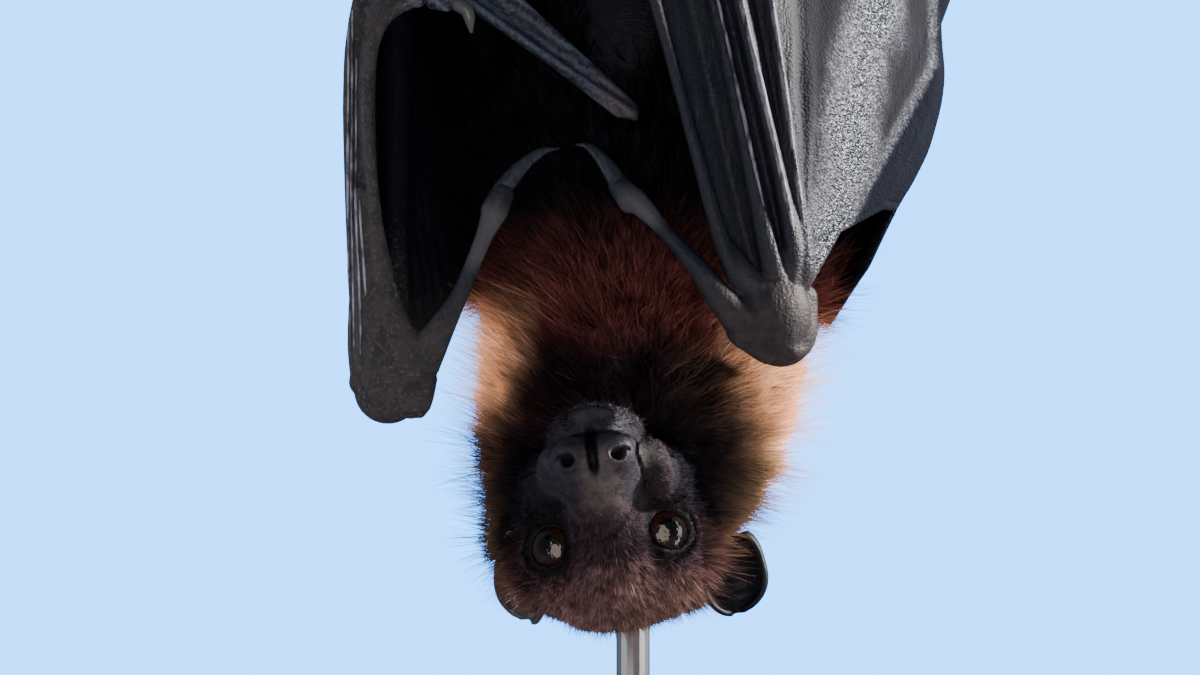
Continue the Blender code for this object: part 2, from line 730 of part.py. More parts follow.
def build_stand(perch):
    work = bmesh.new()
    bmesh.ops.create_cube(work, size=1)
    bmesh.ops.scale(work, verts=work.verts, vec=at(BASE_LENGTH, BASE_DEPTH, BASE_HEIGHT))
    bmesh.ops.translate(work, verts=work.verts, vec=at(0, 0, BASE_HEIGHT / 2))
    upright = [e for e in work.edges if abs(e.verts[0].co.z - e.verts[1].co.z) > MM]
    bmesh.ops.bevel(work, geom=upright, offset=BASE_CORNER * MM, segments=5, affect="EDGES", profile=0.5)
    top = [e for e in work.edges if min(v.co.z for v in e.verts) > (BASE_HEIGHT - 0.1) * MM]
    bmesh.ops.bevel(work, geom=top, offset=2.5 * MM, segments=2, affect="EDGES", profile=0.5)
    mesh = bpy.data.meshes.new("stand_base")
    work.to_mesh(mesh)
    work.free()
    new_object("stand_base", mesh, "stand_wood")
    collar_top = 399
    profile = (
        (BASE_HEIGHT + GAP, 9),
        (BASE_HEIGHT + GAP + 3, 9),
        (BASE_HEIGHT + GAP + 4.5, ROD_RADIUS + 0.5),
        (BASE_HEIGHT + GAP + 5, ROD_RADIUS),
        (collar_top - COLLAR_HEIGHT - 1, ROD_RADIUS),
        (collar_top - COLLAR_HEIGHT, COLLAR_RADIUS),
        (collar_top, COLLAR_RADIUS),
    )
    turns = [2 * math.pi * i / 16 for i in range(16)]
    rings = [[Vector((r * math.cos(a), ROD_BACK + r * math.sin(a), z)) for a in turns] for z, r in profile]
    rod = rings_to_solid("stand_rod", rings, "stand_metal")
    carve(rod, perch)


# ---- the whole


def build_body():
    path = [(x, y, z) for z, x, y, _, _ in TRUNK]
    trunk = limb("trunk", path, [(w, d) for _, _, _, w, d in TRUNK], "dark_fur", sides=28, rings=24)
    neck = limb("nape", ((-1, 9, 150), (-4, 10, 128)), [(32.5, 29), (27, 25)], "dark_fur", sides=24, rings=5)
    return fuse("whole_body", [trunk, neck, *head_lumps()], 1.0, 4, 2300, "dark_fur")


def lighten():
    """Takes triangles out of the heavier pieces, where their surfaces are nearly flat."""
    for obj in list(bpy.data.objects):
        obj.data.calc_loop_triangles()
        count = len(obj.data.loop_triangles)
        most = [n for start, n in MOST_TRIANGLES.items() if obj.name.startswith(start)]
        if most and count > most[0]:
            thin = obj.modifiers.new("thin", "DECIMATE")
            thin.ratio = most[0] / count
            apply_modifiers(obj)


def main():
    clear_scene()
    body = build_body()
    eyes = []
    for side, way in SIDES.items():
        eyeball = eye(way)
        eyeball.name = f"eye_{side}"
        eyes.append(eyeball)
    carve(body, *eyes)
    for side, way in SIDES.items():
        carve(ear(side), body)
    neck_plane = ((0, -18, NECK_CUT), (0, 0.62, 1))
    chest_plane = ((0, 0, CHEST_CUT), (0, 0.25, 1))
    belly_plane = ((0, 0, BELLY_CUT), (0, 0, 1))
    slab("head", body, "dark_fur", below=neck_plane)
    slab("neck", body, "mantle_fur", above=neck_plane, below=chest_plane)
    slab("chest", body, "dark_fur", above=chest_plane, below=belly_plane)
    slab("belly", body, "dark_fur", above=belly_plane)
    perch = build_perch()
    legs = [piece for side in SIDES for piece in build_leg(side, body, perch)]
    for side in SIDES:
        build_wing(side, body, [*legs, perch])
    build_stand(perch)
    bpy.data.objects.remove(body)
    lighten()


main()
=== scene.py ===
"""The looks of a life-size fruit bat, a black flying fox, that hangs head down from a display stand's branch.

One skin stands for the pieces of flesh, with the coat as tufts over it. Eyes, claws and the branch are pieces
of their own. +Z is up, the belly faces -Y, and what is called right is at +X. Sizes are in millimetres until
a mesh is made.
"""

import json
import math

import bmesh
import bpy
import numpy as np
import openvdb
from mathutils import Matrix, Vector
from mathutils.bvhtree import BVHTree
from mathutils.kdtree import KDTree

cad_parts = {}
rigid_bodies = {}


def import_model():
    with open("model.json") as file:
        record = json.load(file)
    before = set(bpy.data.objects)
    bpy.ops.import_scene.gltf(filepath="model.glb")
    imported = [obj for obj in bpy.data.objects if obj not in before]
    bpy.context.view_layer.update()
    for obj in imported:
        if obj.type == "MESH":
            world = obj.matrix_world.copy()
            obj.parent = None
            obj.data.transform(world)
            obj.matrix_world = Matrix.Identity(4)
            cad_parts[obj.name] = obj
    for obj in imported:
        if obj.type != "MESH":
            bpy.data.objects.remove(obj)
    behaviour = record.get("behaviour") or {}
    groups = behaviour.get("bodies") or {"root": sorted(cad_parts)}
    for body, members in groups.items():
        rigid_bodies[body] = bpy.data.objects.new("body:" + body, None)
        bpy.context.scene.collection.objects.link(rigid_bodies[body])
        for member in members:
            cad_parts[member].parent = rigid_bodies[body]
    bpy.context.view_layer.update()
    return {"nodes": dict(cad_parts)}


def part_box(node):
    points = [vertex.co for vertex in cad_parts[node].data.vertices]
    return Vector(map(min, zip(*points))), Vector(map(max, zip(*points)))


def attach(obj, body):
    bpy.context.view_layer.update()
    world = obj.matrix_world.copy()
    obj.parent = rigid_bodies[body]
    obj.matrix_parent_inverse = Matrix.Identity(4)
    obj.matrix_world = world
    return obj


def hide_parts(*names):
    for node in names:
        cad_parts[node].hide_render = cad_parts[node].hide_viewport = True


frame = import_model()
MM = 0.001
SIDES = {"right": 1, "left": -1}
CURVE_STEPS = 24  # between two of a curve's given points
FINE = 201  # points on a curve that a grid is read from
FAR = 40.0  # the distance that the clay holds, in millimetres, before any shape is pressed in
BEYOND = 99  # farther than any part of a rod or a line
HEAD_TRIANGLES, HAND_TRIANGLES, FOLD_TRIANGLES, FOOT_TRIANGLES = 41000, 17000, 4000, 5000

# ---- where things are, as in the solids


def middle_of(node):
    """The middle of a node's box, in millimetres."""
    low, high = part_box(node)
    return (low + high) / 2 / MM


def head_axes():
    """Columns: the head's own forward, right and crown directions. It hangs with its crown down."""
    forward, right, crown = Vector((0, -1, 0)), Vector((1, 0, 0)), Vector((0, 0, -1))
    pitch = Matrix.Rotation(math.radians(-9.5), 3, "X")
    forward, crown = pitch @ forward, pitch @ crown
    roll = Matrix.Rotation(math.radians(7.6), 3, forward)
    yaw = Matrix.Rotation(math.radians(-5.0), 3, "Z")
    return np.array(Matrix([yaw @ roll @ v for v in (forward, right, crown)]).transposed())


AXES = head_axes()
EYES = {side: np.array(middle_of(f"eye_{side}")) for side in SIDES}
EYE_RADIUS, EYE_TURN, EYE_FORWARD = 5.7, 24, -0.6
EYE_LEVEL = (EYES["right"] + EYES["left"]) / 2 - EYE_FORWARD * AXES[:, 0]

EARS = {
    "right": ((-18, 22.6, -2), (-23, 25, 13.6), (1, 0.35, 0)),
    "left": ((-21, -16.5, -9), (-31, -22, 6.4), (0.8, -0.6, 0.2)),
}
WRIST = {"right": (29.8, -40, 163.5), "left": (-52.5, -34, 152)}
ELBOW = {"right": (80, 30, 298), "left": (-57, 38, 298)}
SHOULDER = {"right": (35, 8, 181), "left": (-31, 9, 186)}
FOREARM_BOW = {"right": 7.0, "left": 0.5}
ARM_RADIUS = (3.2, 3.4, 3.9, 4.6, 5.6, 6.2, 6.4)
HIP, KNEE, ANKLE = (15, 6, 304), (35, 20, 340), (20, 15, 388)
PERCH_HEIGHT, PERCH_RADIUS = 408, 9.5
FINGER_ORDER = ("five", "four", "three", "two")
FINGERS = {
    "right": {
        "five": ((35, -42.5, 171), (35.5, -44.5, 180), (28.7, -46, 232), (21.5, -43, 278)),
        "four": ((33, -44.5, 171), (32.5, -47, 183), (21.8, -51, 231), (12, -48, 274)),
        "three": ((30, -45.5, 171), (27, -47.5, 182), (16.5, -50.5, 231), (6, -49, 276)),
        "two": ((23, -45.5, 169), (17.5, -48, 181), (4, -53, 230), (-2.5, -53, 253)),
    },
    "left": {
        "five": ((-57.5, -29, 155), (-60.5, -25, 176), (-62, -17, 222), (-55, -8, 262)),
        "four": ((-58, -33, 155), (-61.2, -31.5, 176), (-62.5, -31, 222), (-54.5, -29, 259)),
        "three": ((-57.5, -37, 155), (-60.5, -39.5, 176), (-61.8, -43, 222), (-54, -46, 254)),
        "two": (
            (-54, -40, 157), (-55.5, -44, 178), (-58, -48, 208),
            (-55.5, -49.5, 225), (-48.5, -50, 231.2), (-41, -50, 230.8),
        ),
    },
}  # fmt: skip
FINGER_RADIUS = {"five": 1.7, "four": 1.6, "three": 1.8, "two": 1.6}
FOLD = {
    "right": ((5.5, -46, 273), (18, -40.5, 202), (-3, -31, 300)),
    "left": ((-52.5, -47.5, 243), (-3.6, -49.5, 207.4), (-46, -42, 253)),
}
THUMB = {
    "right": ((21.5, -46.5, 163), (12, -48, 174), (3.5, -47, 184), (-3.5, -45.5, 191.5)),
    "left": ((-43.5, -41, 158), (-38, -43, 168), (-33.2, -44.5, 179.5), (-28.8, -45.6, 190)),
}
THUMB_RADIUS = {
    "right": (4.6, 4.2, 3.2, 2.5, 2.1, 1.8, 1.65, 1.9, 2.6, 2.2),
    "left": (4.4, 3.6, 2.4, 2.1, 1.95, 1.8, 1.7, 1.9, 2.7, 2.3),
}
THUMB_CLAW = {
    "right": ((-4.3, -45.4, 192.6), (-7.5, -44.5, 197.5), (-10.5, -43.5, 200.5), (-13, -42, 201.2)),
    "left": ((-28.8, -45.6, 191), (-24.5, -45.6, 195.8), (-20.5, -45, 199), (-17, -43.8, 200)),
}
# Skin over the small bones of the wrist, and between thumb and fingers: lines of points, with the half width
# along each
PALM = {
    "right": (
        (((31, -43, 163), (24, -46, 170), (19.5, -47, 178)), (5, 3.6, 1.6)),
        (((24, -44, 160), (17, -46, 168), (12.5, -47, 174)), (4.4, 3, 2.2)),
        (((22.5, -43, 160.5), (30.5, -42, 156.6), (35, -39, 159.5), (36, -40, 168)), (3.6, 4.4, 3.6, 3)),
        (((-3.6, -45.2, 191.5), (-1.6, -45.6, 187.6)), (2.7, 2.3)),
    ),
    "left": (
        (((-47.8, -41, 153.5), (-52.2, -42, 163.5), (-54.4, -43, 174), (-56, -44.5, 184)), (5, 3, 2, 1.4)),
        (((-46.2, -41, 154), (-42.8, -42.5, 159.5), (-39, -43.2, 166)), (4.4, 3.2, 2.1)),
        (((-56, -39, 154), (-57.5, -41, 168), (-58.5, -43, 190)), (5, 3.2, 2.2)),
        (
            ((-58.6, -34.5, 150.6), (-53, -35.5, 146.6), (-48.6, -37, 145.4), (-46.6, -38, 150.5)),
            (3.6, 4.4, 4.2, 3.8),
        ),
        (((-58.4, -34, 150.6), (-59.8, -33, 160), (-60.2, -32, 176)), (3.4, 2.7, 2)),
        (((-30.6, -45, 186), (-29, -45.3, 189.4)), (3, 2.7)),
    ),
}  # fmt: skip
FINGER_CLAW = {
    "right": ((-2.9, -53, 255.5), (-4, -53.5, 259), (-6.1, -53.2, 261.5)),
    "left": ((-38.7, -50, 230.4), (-36.4, -50.3, 228.6), (-35.6, -50, 224.4)),
}
# Pleats on the left hand's leading edge: x at the wrist and higher up, then the heights of their two ends
PLEATS = (
    (-61.9, -62.3, 156.5, 238),
    (-60.7, -61.5, 155, 233),
    (-59.2, -60.6, 155.5, 222),
    (-57.8, -59.8, 168, 190),
)
# The skin between forearm and upper arm: how far its free edge stands out and where that edge lies, then how
# far the inner part stands out and how much it swells between
ELBOW_SKIN = {
    "right": ((3, 11, 15.2, 15.7, 13), (0.166, 0.198, 0.18, 0.045, -0.09), -1, 3.6),
    "left": ((3, 3.7, 4, 3.7, 3), (-0.04, -0.035, -0.02, -0.005, 0), 3, 0),
}
TRAILING = {
    "right": ((26, -27, 322), (25, -6, 360)),
    "left": ((-49, 0, 312), (-33, 6, 360)),
}
ELBOW_TO_ANKLE = {"right": (56, 32, 344), "left": (-50, 34, 344)}
FLANK = ((27, 21, 190), (25, 20, 240), (17, 20, 290), (20, 20, 336), (20, 19, 372))

# The trunk under its coat: height, middle across, middle depth, half width, half depth
TRUNK = np.array([
    (329, 0, 8, 1, 1), (321, 0, 8, 8, 8), (309, 0, 7, 17, 15), (290, 0, 5, 23, 21), (264, 0, 4, 27, 25),
    (236, 0, 3, 29, 28), (208, 0.5, 3, 30, 29), (188, 1, 4, 29.5, 28), (170, 2, 5, 28.2, 24),
    (154, 0.8, 7, 27, 20.5), (140, -1.6, 9, 25.4, 18), (128, -3, 10, 21, 14), (116, -4, 10, 14, 9),
])  # fmt: skip


def upper_arm(side):
    return np.array(SHOULDER[side], float), np.array(ELBOW[side], float)


def on_head(forward, right, crown):
    return EYE_LEVEL + AXES @ np.array((forward, right, crown), float)


def to_head(points):
    return (points - EYE_LEVEL) @ AXES


def ease(value, low, high):
    """0 at low and 1 at high, with soft ends."""
    share = np.clip((value - low) / (high - low), 0, 1)
    return share * share * (3 - 2 * share)


def unit(vectors):
    return vectors / np.maximum(np.linalg.norm(vectors, axis=-1, keepdims=True), 1e-9)


def ripple(points, size, seed, waves=7):
    """Soft bumps between about -1 and 1, of about that size in millimetres."""
    rng = np.random.default_rng(seed)
    total = np.zeros(len(points))
    for _ in range(waves):
        way = unit(rng.normal(size=3)) * 2 * math.pi / size * rng.uniform(0.6, 1.5)
        total += np.sin(points @ way + rng.uniform(0, 6.3))
    return total / waves**0.5 / 1.4


# ---- curves and thin sheets


def read_along(picks, index, curve):
    """A curve's points at the given places, where index says how far along each of its own points is."""
    return np.stack([np.interp(picks, index, curve[:, i]) for i in range(3)], axis=-1)


def spline(points, count):
    """count points, evenly spaced by length, on a smooth curve through the given ones."""
    points = [np.array(p, float) for p in points]
    if len(points) > 2:
        ends = [2 * points[0] - points[1], *points, 2 * points[-1] - points[-2]]
        fine = []
        for a, b, c, d in zip(ends, ends[1:], ends[2:], ends[3:], strict=False):
            bend, twist = 2 * a - 5 * b + 4 * c - d, 3 * b - a - 3 * c + d
            for step in range(CURVE_STEPS):
                t = step / CURVE_STEPS
                fine.append(0.5 * (2 * b + (c - a) * t + bend * t * t + twist * t**3))
        points = [*fine, points[-1]]
    points = np.array(points)
    lengths = np.append(0, np.cumsum(np.linalg.norm(np.diff(points, axis=0), axis=1)))
    return read_along(np.linspace(0, lengths[-1], count), lengths, points)


def spread(values, count):
    """count values read evenly along a short list of numbers."""
    return np.interp(np.linspace(0, 1, count), np.linspace(0, 1, len(values)), values)


def grid_faces(rows, columns, wrap=False):
    faces = []
    for r in range(rows - 1):
        this, following = r * columns, (r + 1) * columns
        for c in range(columns if wrap else columns - 1):
            d = (c + 1) % columns
            faces.append((this + c, this + d, following + d, following + c))
    return faces


def capped_faces(rows, sides):
    """Faces of a stack of rings, closed at both ends."""
    faces = grid_faces(rows, sides, wrap=True)
    faces.append(tuple(reversed(range(sides))))
    faces.append(tuple(range((rows - 1) * sides, rows * sides)))
    return faces


def normals_of(grid):
    return unit(np.cross(np.gradient(grid, axis=0), np.gradient(grid, axis=1)))


def shares(rows, columns):
    """How far along its rows and its columns each point of a grid is, from 0 to 1."""
    return np.linspace(0, 1, rows)[:, None], np.linspace(0, 1, columns)[None, :]


def grid_ripple(grid, size, seed, squash=(1, 1, 1)):
    """Soft bumps over a grid of points."""
    return ripple(grid.reshape(-1, 3) * squash, size, seed).reshape(grid.shape[:2])


def tube(path, radii, sides=16, rings=25, flat=1.0, side=(1, 0, 0)):
    """(points, faces) of a round-ended tube along a smooth path, flat times as deep as it is wide."""
    centre = spline(path, rings)
    sizes = spread(radii, rings)
    ways = unit(np.gradient(centre, axis=0))
    rows = []
    angles = 2 * math.pi * np.arange(sides) / sides
    ends = ((0.97, 0.25), (0.87, 0.5), (0.66, 0.75), (0.3, 0.95))
    stations = [(0, -far, share) for share, far in reversed(ends)]
    stations += [(i, 0, 1) for i in range(rings)]
    stations += [(rings - 1, far, share) for share, far in ends]
    for i, far, share in stations:
        way, size = ways[i], sizes[i]
        across = unit(np.array(side, float) - way * way.dot(side))
        other = np.cross(way, across)
        rows.append(
            centre[i]
            + way * size * far
            + np.outer(np.cos(angles), across) * size * share
            + np.outer(np.sin(angles), other) * size * share * flat
        )
    return np.concatenate(rows), capped_faces(len(rows), sides)


def sheet(grid, thickness=1.0):
    """(points, faces) of a closed thin skin about a grid. thickness is a number, or one for each point."""
    grid = np.asarray(grid)
    rows, columns = grid.shape[:2]
    normal = normals_of(grid)
    half = normal * np.broadcast_to(np.asarray(thickness, float)[..., None] / 2, normal.shape)
    points = np.concatenate([(grid + half).reshape(-1, 3), (grid - half).reshape(-1, 3)])
    count = rows * columns
    faces = grid_faces(rows, columns)
    faces += [tuple(count + i for i in reversed(face)) for face in grid_faces(rows, columns)]
    rim = (
        list(range(columns))
        + [r * columns + columns - 1 for r in range(1, rows)]
        + [(rows - 1) * columns + c for c in range(columns - 2, -1, -1)]
        + [r * columns for r in range(rows - 2, 0, -1)]
    )
    faces += [(b, a, count + a, count + b) for a, b in zip(rim, rim[1:] + rim[:1], strict=True)]
    return points, faces


def push(grid, amount):
    """Moves each point of a grid along its normal."""
    return grid + normals_of(grid) * amount[..., None]


def joined(*pieces):
    """One (points, faces) from several."""
    points, faces, start = [], [], 0
    for some_points, some_faces in pieces:
        points.append(np.asarray(some_points))
        faces += [tuple(start + i for i in face) for face in some_faces]
        start += len(some_points)
    return np.concatenate(points), faces


def mesh_of(points, faces, name="piece"):
    """A smooth mesh in metres, with its faces all turned outwards."""
    mesh = bpy.data.meshes.new(name)
    mesh.from_pydata((np.asarray(points) * MM).tolist(), [], faces)
    work = bmesh.new()
    work.from_mesh(mesh)
    bmesh.ops.recalc_face_normals(work, faces=work.faces)
    work.to_mesh(mesh)
    work.free()
    mesh.shade_smooth()
    return mesh


def object_of(name, mesh, *finishes):
    """An object in the scene, with its finishes in the order of their numbers on the faces."""
    piece = bpy.data.objects.new(name, mesh)
    bpy.context.scene.collection.objects.link(piece)
    mesh.materials.clear()
    for finish in finishes:
        mesh.materials.append(finish)
    return piece


def apply_modifiers(obj):
    """Gives the object the mesh that its modifiers make."""
    graph = bpy.context.evaluated_depsgraph_get()
    graph.update()
    made = bpy.data.meshes.new_from_object(obj.evaluated_get(graph))
    obj.modifiers.clear()
    obj.data = made


def pieces_of(mesh):
    """(points in millimetres, faces) of a mesh."""
    points = np.empty(len(mesh.vertices) * 3, np.float32)
    mesh.vertices.foreach_get("co", points)
    return points.reshape(-1, 3).astype(float) / MM, [tuple(p.vertices) for p in mesh.polygons]


def thinned(obj, count, triangles):
    """(points, faces) of a working object of count triangles, brought down to about the wanted number."""
    if count > triangles:
        thin = obj.modifiers.new("thin", "DECIMATE")
        thin.ratio = triangles / count
        apply_modifiers(obj)
    found = pieces_of(obj.data)
    bpy.data.objects.remove(obj)
    return found


def lightened(pieces, triangles):
    """The same surface in about that many triangles."""
    obj = object_of("working", mesh_of(*pieces))
    return thinned(obj, sum(len(p.vertices) - 2 for p in obj.data.polygons), triangles)


def fused(pieces, voxel, smooth, triangles):
    """One soft surface from closed pieces that overlap."""
    obj = object_of("working", mesh_of(*joined(*pieces)))
    remesh = obj.modifiers.new("remesh", "REMESH")
    remesh.mode, remesh.voxel_size = "VOXEL", voxel * MM
    soften = obj.modifiers.new("soften", "SMOOTH")
    soften.factor, soften.iterations = 0.5, smooth
    apply_modifiers(obj)
    return thinned(obj, 2 * len(obj.data.polygons), triangles)


# ---- soft shapes pressed together, for the head and body


class Clay:
    """Distances to a surface on a grid, in millimetres and negative inside, into which shapes are pressed."""

    def __init__(self, low, high, step):
        self.low, self.step = np.array(low, float), step
        self.size = np.ceil((np.array(high) - self.low) / step).astype(int) + 1
        self.grid = np.full(self.size, FAR, np.float32)

    def window(self, low, high, soft):
        """The part of the grid that a shape between two corners can change, and where its points are."""
        low, high = low - 2 * soft - 1, high + 2 * soft + 1
        first = np.clip(np.floor((low - self.low) / self.step).astype(int), 0, self.size)
        last = np.clip(np.ceil((high - self.low) / self.step).astype(int) + 1, 0, self.size)
        where = tuple(slice(a, b) for a, b in zip(first, last, strict=True))
        axes = [
            self.low[i] + self.step * np.arange(first[i], last[i], dtype=np.float32) for i in range(3)
        ]
        return where, np.meshgrid(*axes, indexing="ij", sparse=True)

    def add(self, shape, soft=3.0):
        """Presses a shape on, with a fillet of about soft millimetres."""
        distance, low, high = shape
        where, place = self.window(low, high, soft)
        if 0 in self.grid[where].shape:
            return
        old, new = self.grid[where], distance(*place)
        share = np.clip(0.5 + 0.5 * (old - new) / soft, 0, 1)
        self.grid[where] = old + (new - old) * share - soft * share * (1 - share)

    def cut(self, shape, soft=0.6):
        """Takes a shape away, with an edge that is rounded by about soft millimetres."""
        distance, low, high = shape
        where, place = self.window(low, high, soft)
        old, new = self.grid[where], -distance(*place)
        share = np.clip(0.5 - 0.5 * (old - new) / soft, 0, 1)
        self.grid[where] = old + (new - old) * share + soft * share * (1 - share)

    def score(self, shape, depth, soft=0.5):
        """Cuts a line that goes only so deep below the surface as it is now."""
        distance, low, high = shape
        ground = self.grid[self.window(low, high, soft)[0]].copy()
        self.cut((lambda *place: np.maximum(distance(*place), -ground - depth), low, high), soft)

    def surface(self):
        grid = openvdb.FloatGrid(FAR)
        grid.copyFromArray(self.grid)
        points, quads = grid.convertToQuads(0.0)
        return points * self.step + self.low, [tuple(q) for q in quads.tolist()]


def egg(centre, radii, turn=None):
    """A soft ellipsoid. turn holds its own axes as columns."""
    turn = np.eye(3) if turn is None else turn
    reach = max(radii)

    def distance(x, y, z):
        offset = (x - centre[0], y - centre[1], z - centre[2])
        near = far = 0
        for i in range(3):
            own = sum(offset[j] * turn[j, i] for j in range(3)) / radii[i]
            near = near + own * own
            far = far + (own / radii[i]) ** 2
        near = np.sqrt(near)
        return near * (near - 1) / np.sqrt(far + 1e-9)

    return distance, np.array(centre) - reach, np.array(centre) + reach


def head_egg(forward, right, crown, long, wide, high, tilt=0):
    turn = AXES @ np.array(Matrix.Rotation(math.radians(tilt), 3, "Y"))
    return egg(on_head(forward, right, crown), (long, wide, high), turn)


def rod(points, radii):
    """A round rod through points, with a radius at each."""
    points, reach = np.array(points, float), max(radii)

    def distance(x, y, z):
        best = BEYOND
        for a, b, first, last in zip(points, points[1:], radii, radii[1:], strict=False):
            way = b - a
            share = ((x - a[0]) * way[0] + (y - a[1]) * way[1] + (z - a[2]) * way[2]) / way.dot(way)
            share = np.clip(share, 0, 1)
            offset = (x - a[0] - share * way[0], y - a[1] - share * way[1], z - a[2] - share * way[2])
            gap = np.sqrt(offset[0] ** 2 + offset[1] ** 2 + offset[2] ** 2)
            best = np.minimum(best, gap - first - (last - first) * share)
        return best

    return distance, points.min(0) - reach, points.max(0) + reach


def head_rod(points, radii):
    return rod([on_head(*p) for p in points], radii)


def drawn(line, widths, behind=0.0):
    """A line drawn on the front of the face, by its places to the right and towards the crown."""
    line = np.array(line, float)

    def distance(x, y, z):
        offset = (x - EYE_LEVEL[0], y - EYE_LEVEL[1], z - EYE_LEVEL[2])
        f, r, c = (sum(offset[j] * AXES[j, i] for j in range(3)) for i in range(3))
        best = BEYOND
        for a, b, first, last in zip(line, line[1:], widths, widths[1:], strict=False):
            way = b - a
            share = np.clip(((r - a[0]) * way[0] + (c - a[1]) * way[1]) / way.dot(way), 0, 1)
            gap = np.sqrt((r - a[0] - share * way[0]) ** 2 + (c - a[1] - share * way[1]) ** 2)
            best = np.minimum(best, gap - first - (last - first) * share)
        return np.maximum(best, behind - f)

    corners = np.array([on_head(f, *p) for p in line for f in (behind, 36)])
    return distance, corners.min(0) - 2, corners.max(0) + 2


def hoop(centre, axis, radius, thick):
    """A round ring of a round cord."""
    axis = unit(np.array(axis, float))

    def distance(x, y, z):
        offset = (x - centre[0], y - centre[1], z - centre[2])
        along = sum(offset[j] * axis[j] for j in range(3))
        out = np.sqrt(np.maximum(sum(o * o for o in offset) - along * along, 0))
        return np.sqrt((out - radius) ** 2 + along * along) - thick

    reach = radius + thick
    return distance, np.array(centre) - reach, np.array(centre) + reach


def trunk():
    """The trunk as one soft shape, from its table of widths."""
    heights, across, depths, wide, deep = TRUNK[::-1].T

    def distance(x, y, z):
        aside, middle, w, d = (
            np.interp(z, heights, v).astype(np.float32) for v in (across, depths, wide, deep)
        )
        near = np.sqrt(((x - aside) / w) ** 2 + ((y - middle) / d) ** 2)
        far = np.sqrt(((x - aside) / w**2) ** 2 + ((y - middle) / d**2) ** 2) + 1e-6
        ends = np.abs(z - (heights[0] + heights[-1]) / 2) - (heights[-1] - heights[0]) / 2
        return np.maximum(near * (near - 1) / far, ends)

    low = np.array((-45, -40, heights[0]))
    return distance, low, np.array((45, 45, heights[-1]))


def flip(points, side):
    """Points of the right side, moved to the given side."""
    return [(SIDES[side] * x, y, z) for x, y, z in points]


def press_body(clay):
    """Trunk, skull, jaws, upper arms and legs, without the face's small forms."""
    clay.add(trunk(), 1)
    clay.add(rod([(-1, 9, 150), (-4, 10, 128)], [20, 17]), 6)
    for lump in (
        (-15.5, 0, 2, 15.2, 18.6, 10.8),
        (-2, 0, 1.5, 11.2, 10.6, 10.4),
        (-20, 0, -10, 12.5, 22.5, 10),
        (9, 0, -5.5, 16.6, 8.0, 8.2, 14),
        (19, 0, -10.5, 12.2, 9.4, 7.4),
        (11, 0, -19, 15.4, 9.0, 6.6),
        (-6, 0, -17, 14, 12.5, 8),
    ):
        clay.add(head_egg(*lump), 3.5)
    for side, way in SIDES.items():
        clay.add(head_egg(2, way * 10.5, -12.5, 11, 7.8, 7.2), 3)
        clay.add(head_egg(-5, way * 11.4, 5.6, 6.8, 5, 2.8), 3)
        clay.add(head_egg(-6, way * 13.6, -6.6, 8, 4.8, 3), 3)
        shoulder, elbow = upper_arm(side)
        middle = (shoulder + elbow) / 2 + (way * 2, 1, 0)
        clay.add(rod([shoulder, middle, elbow * 0.95 + shoulder * 0.05], [7.5, 4.8, 3.6]), 9)
        hip, knee, heel = flip((HIP, KNEE, ANKLE), side)
        thigh = [(a + b) / 2 + c for a, b, c in zip(hip, knee, (way * 1.5, 1, 1), strict=True)]
        shin = [(a + b) / 2 for a, b in zip(knee, heel, strict=True)]
        clay.add(rod([hip, thigh, knee], [8.5, 6.8, 3.8]), 6)
        clay.add(rod([knee, shin, heel], [3.8, 3.2, 2.4]), 3)


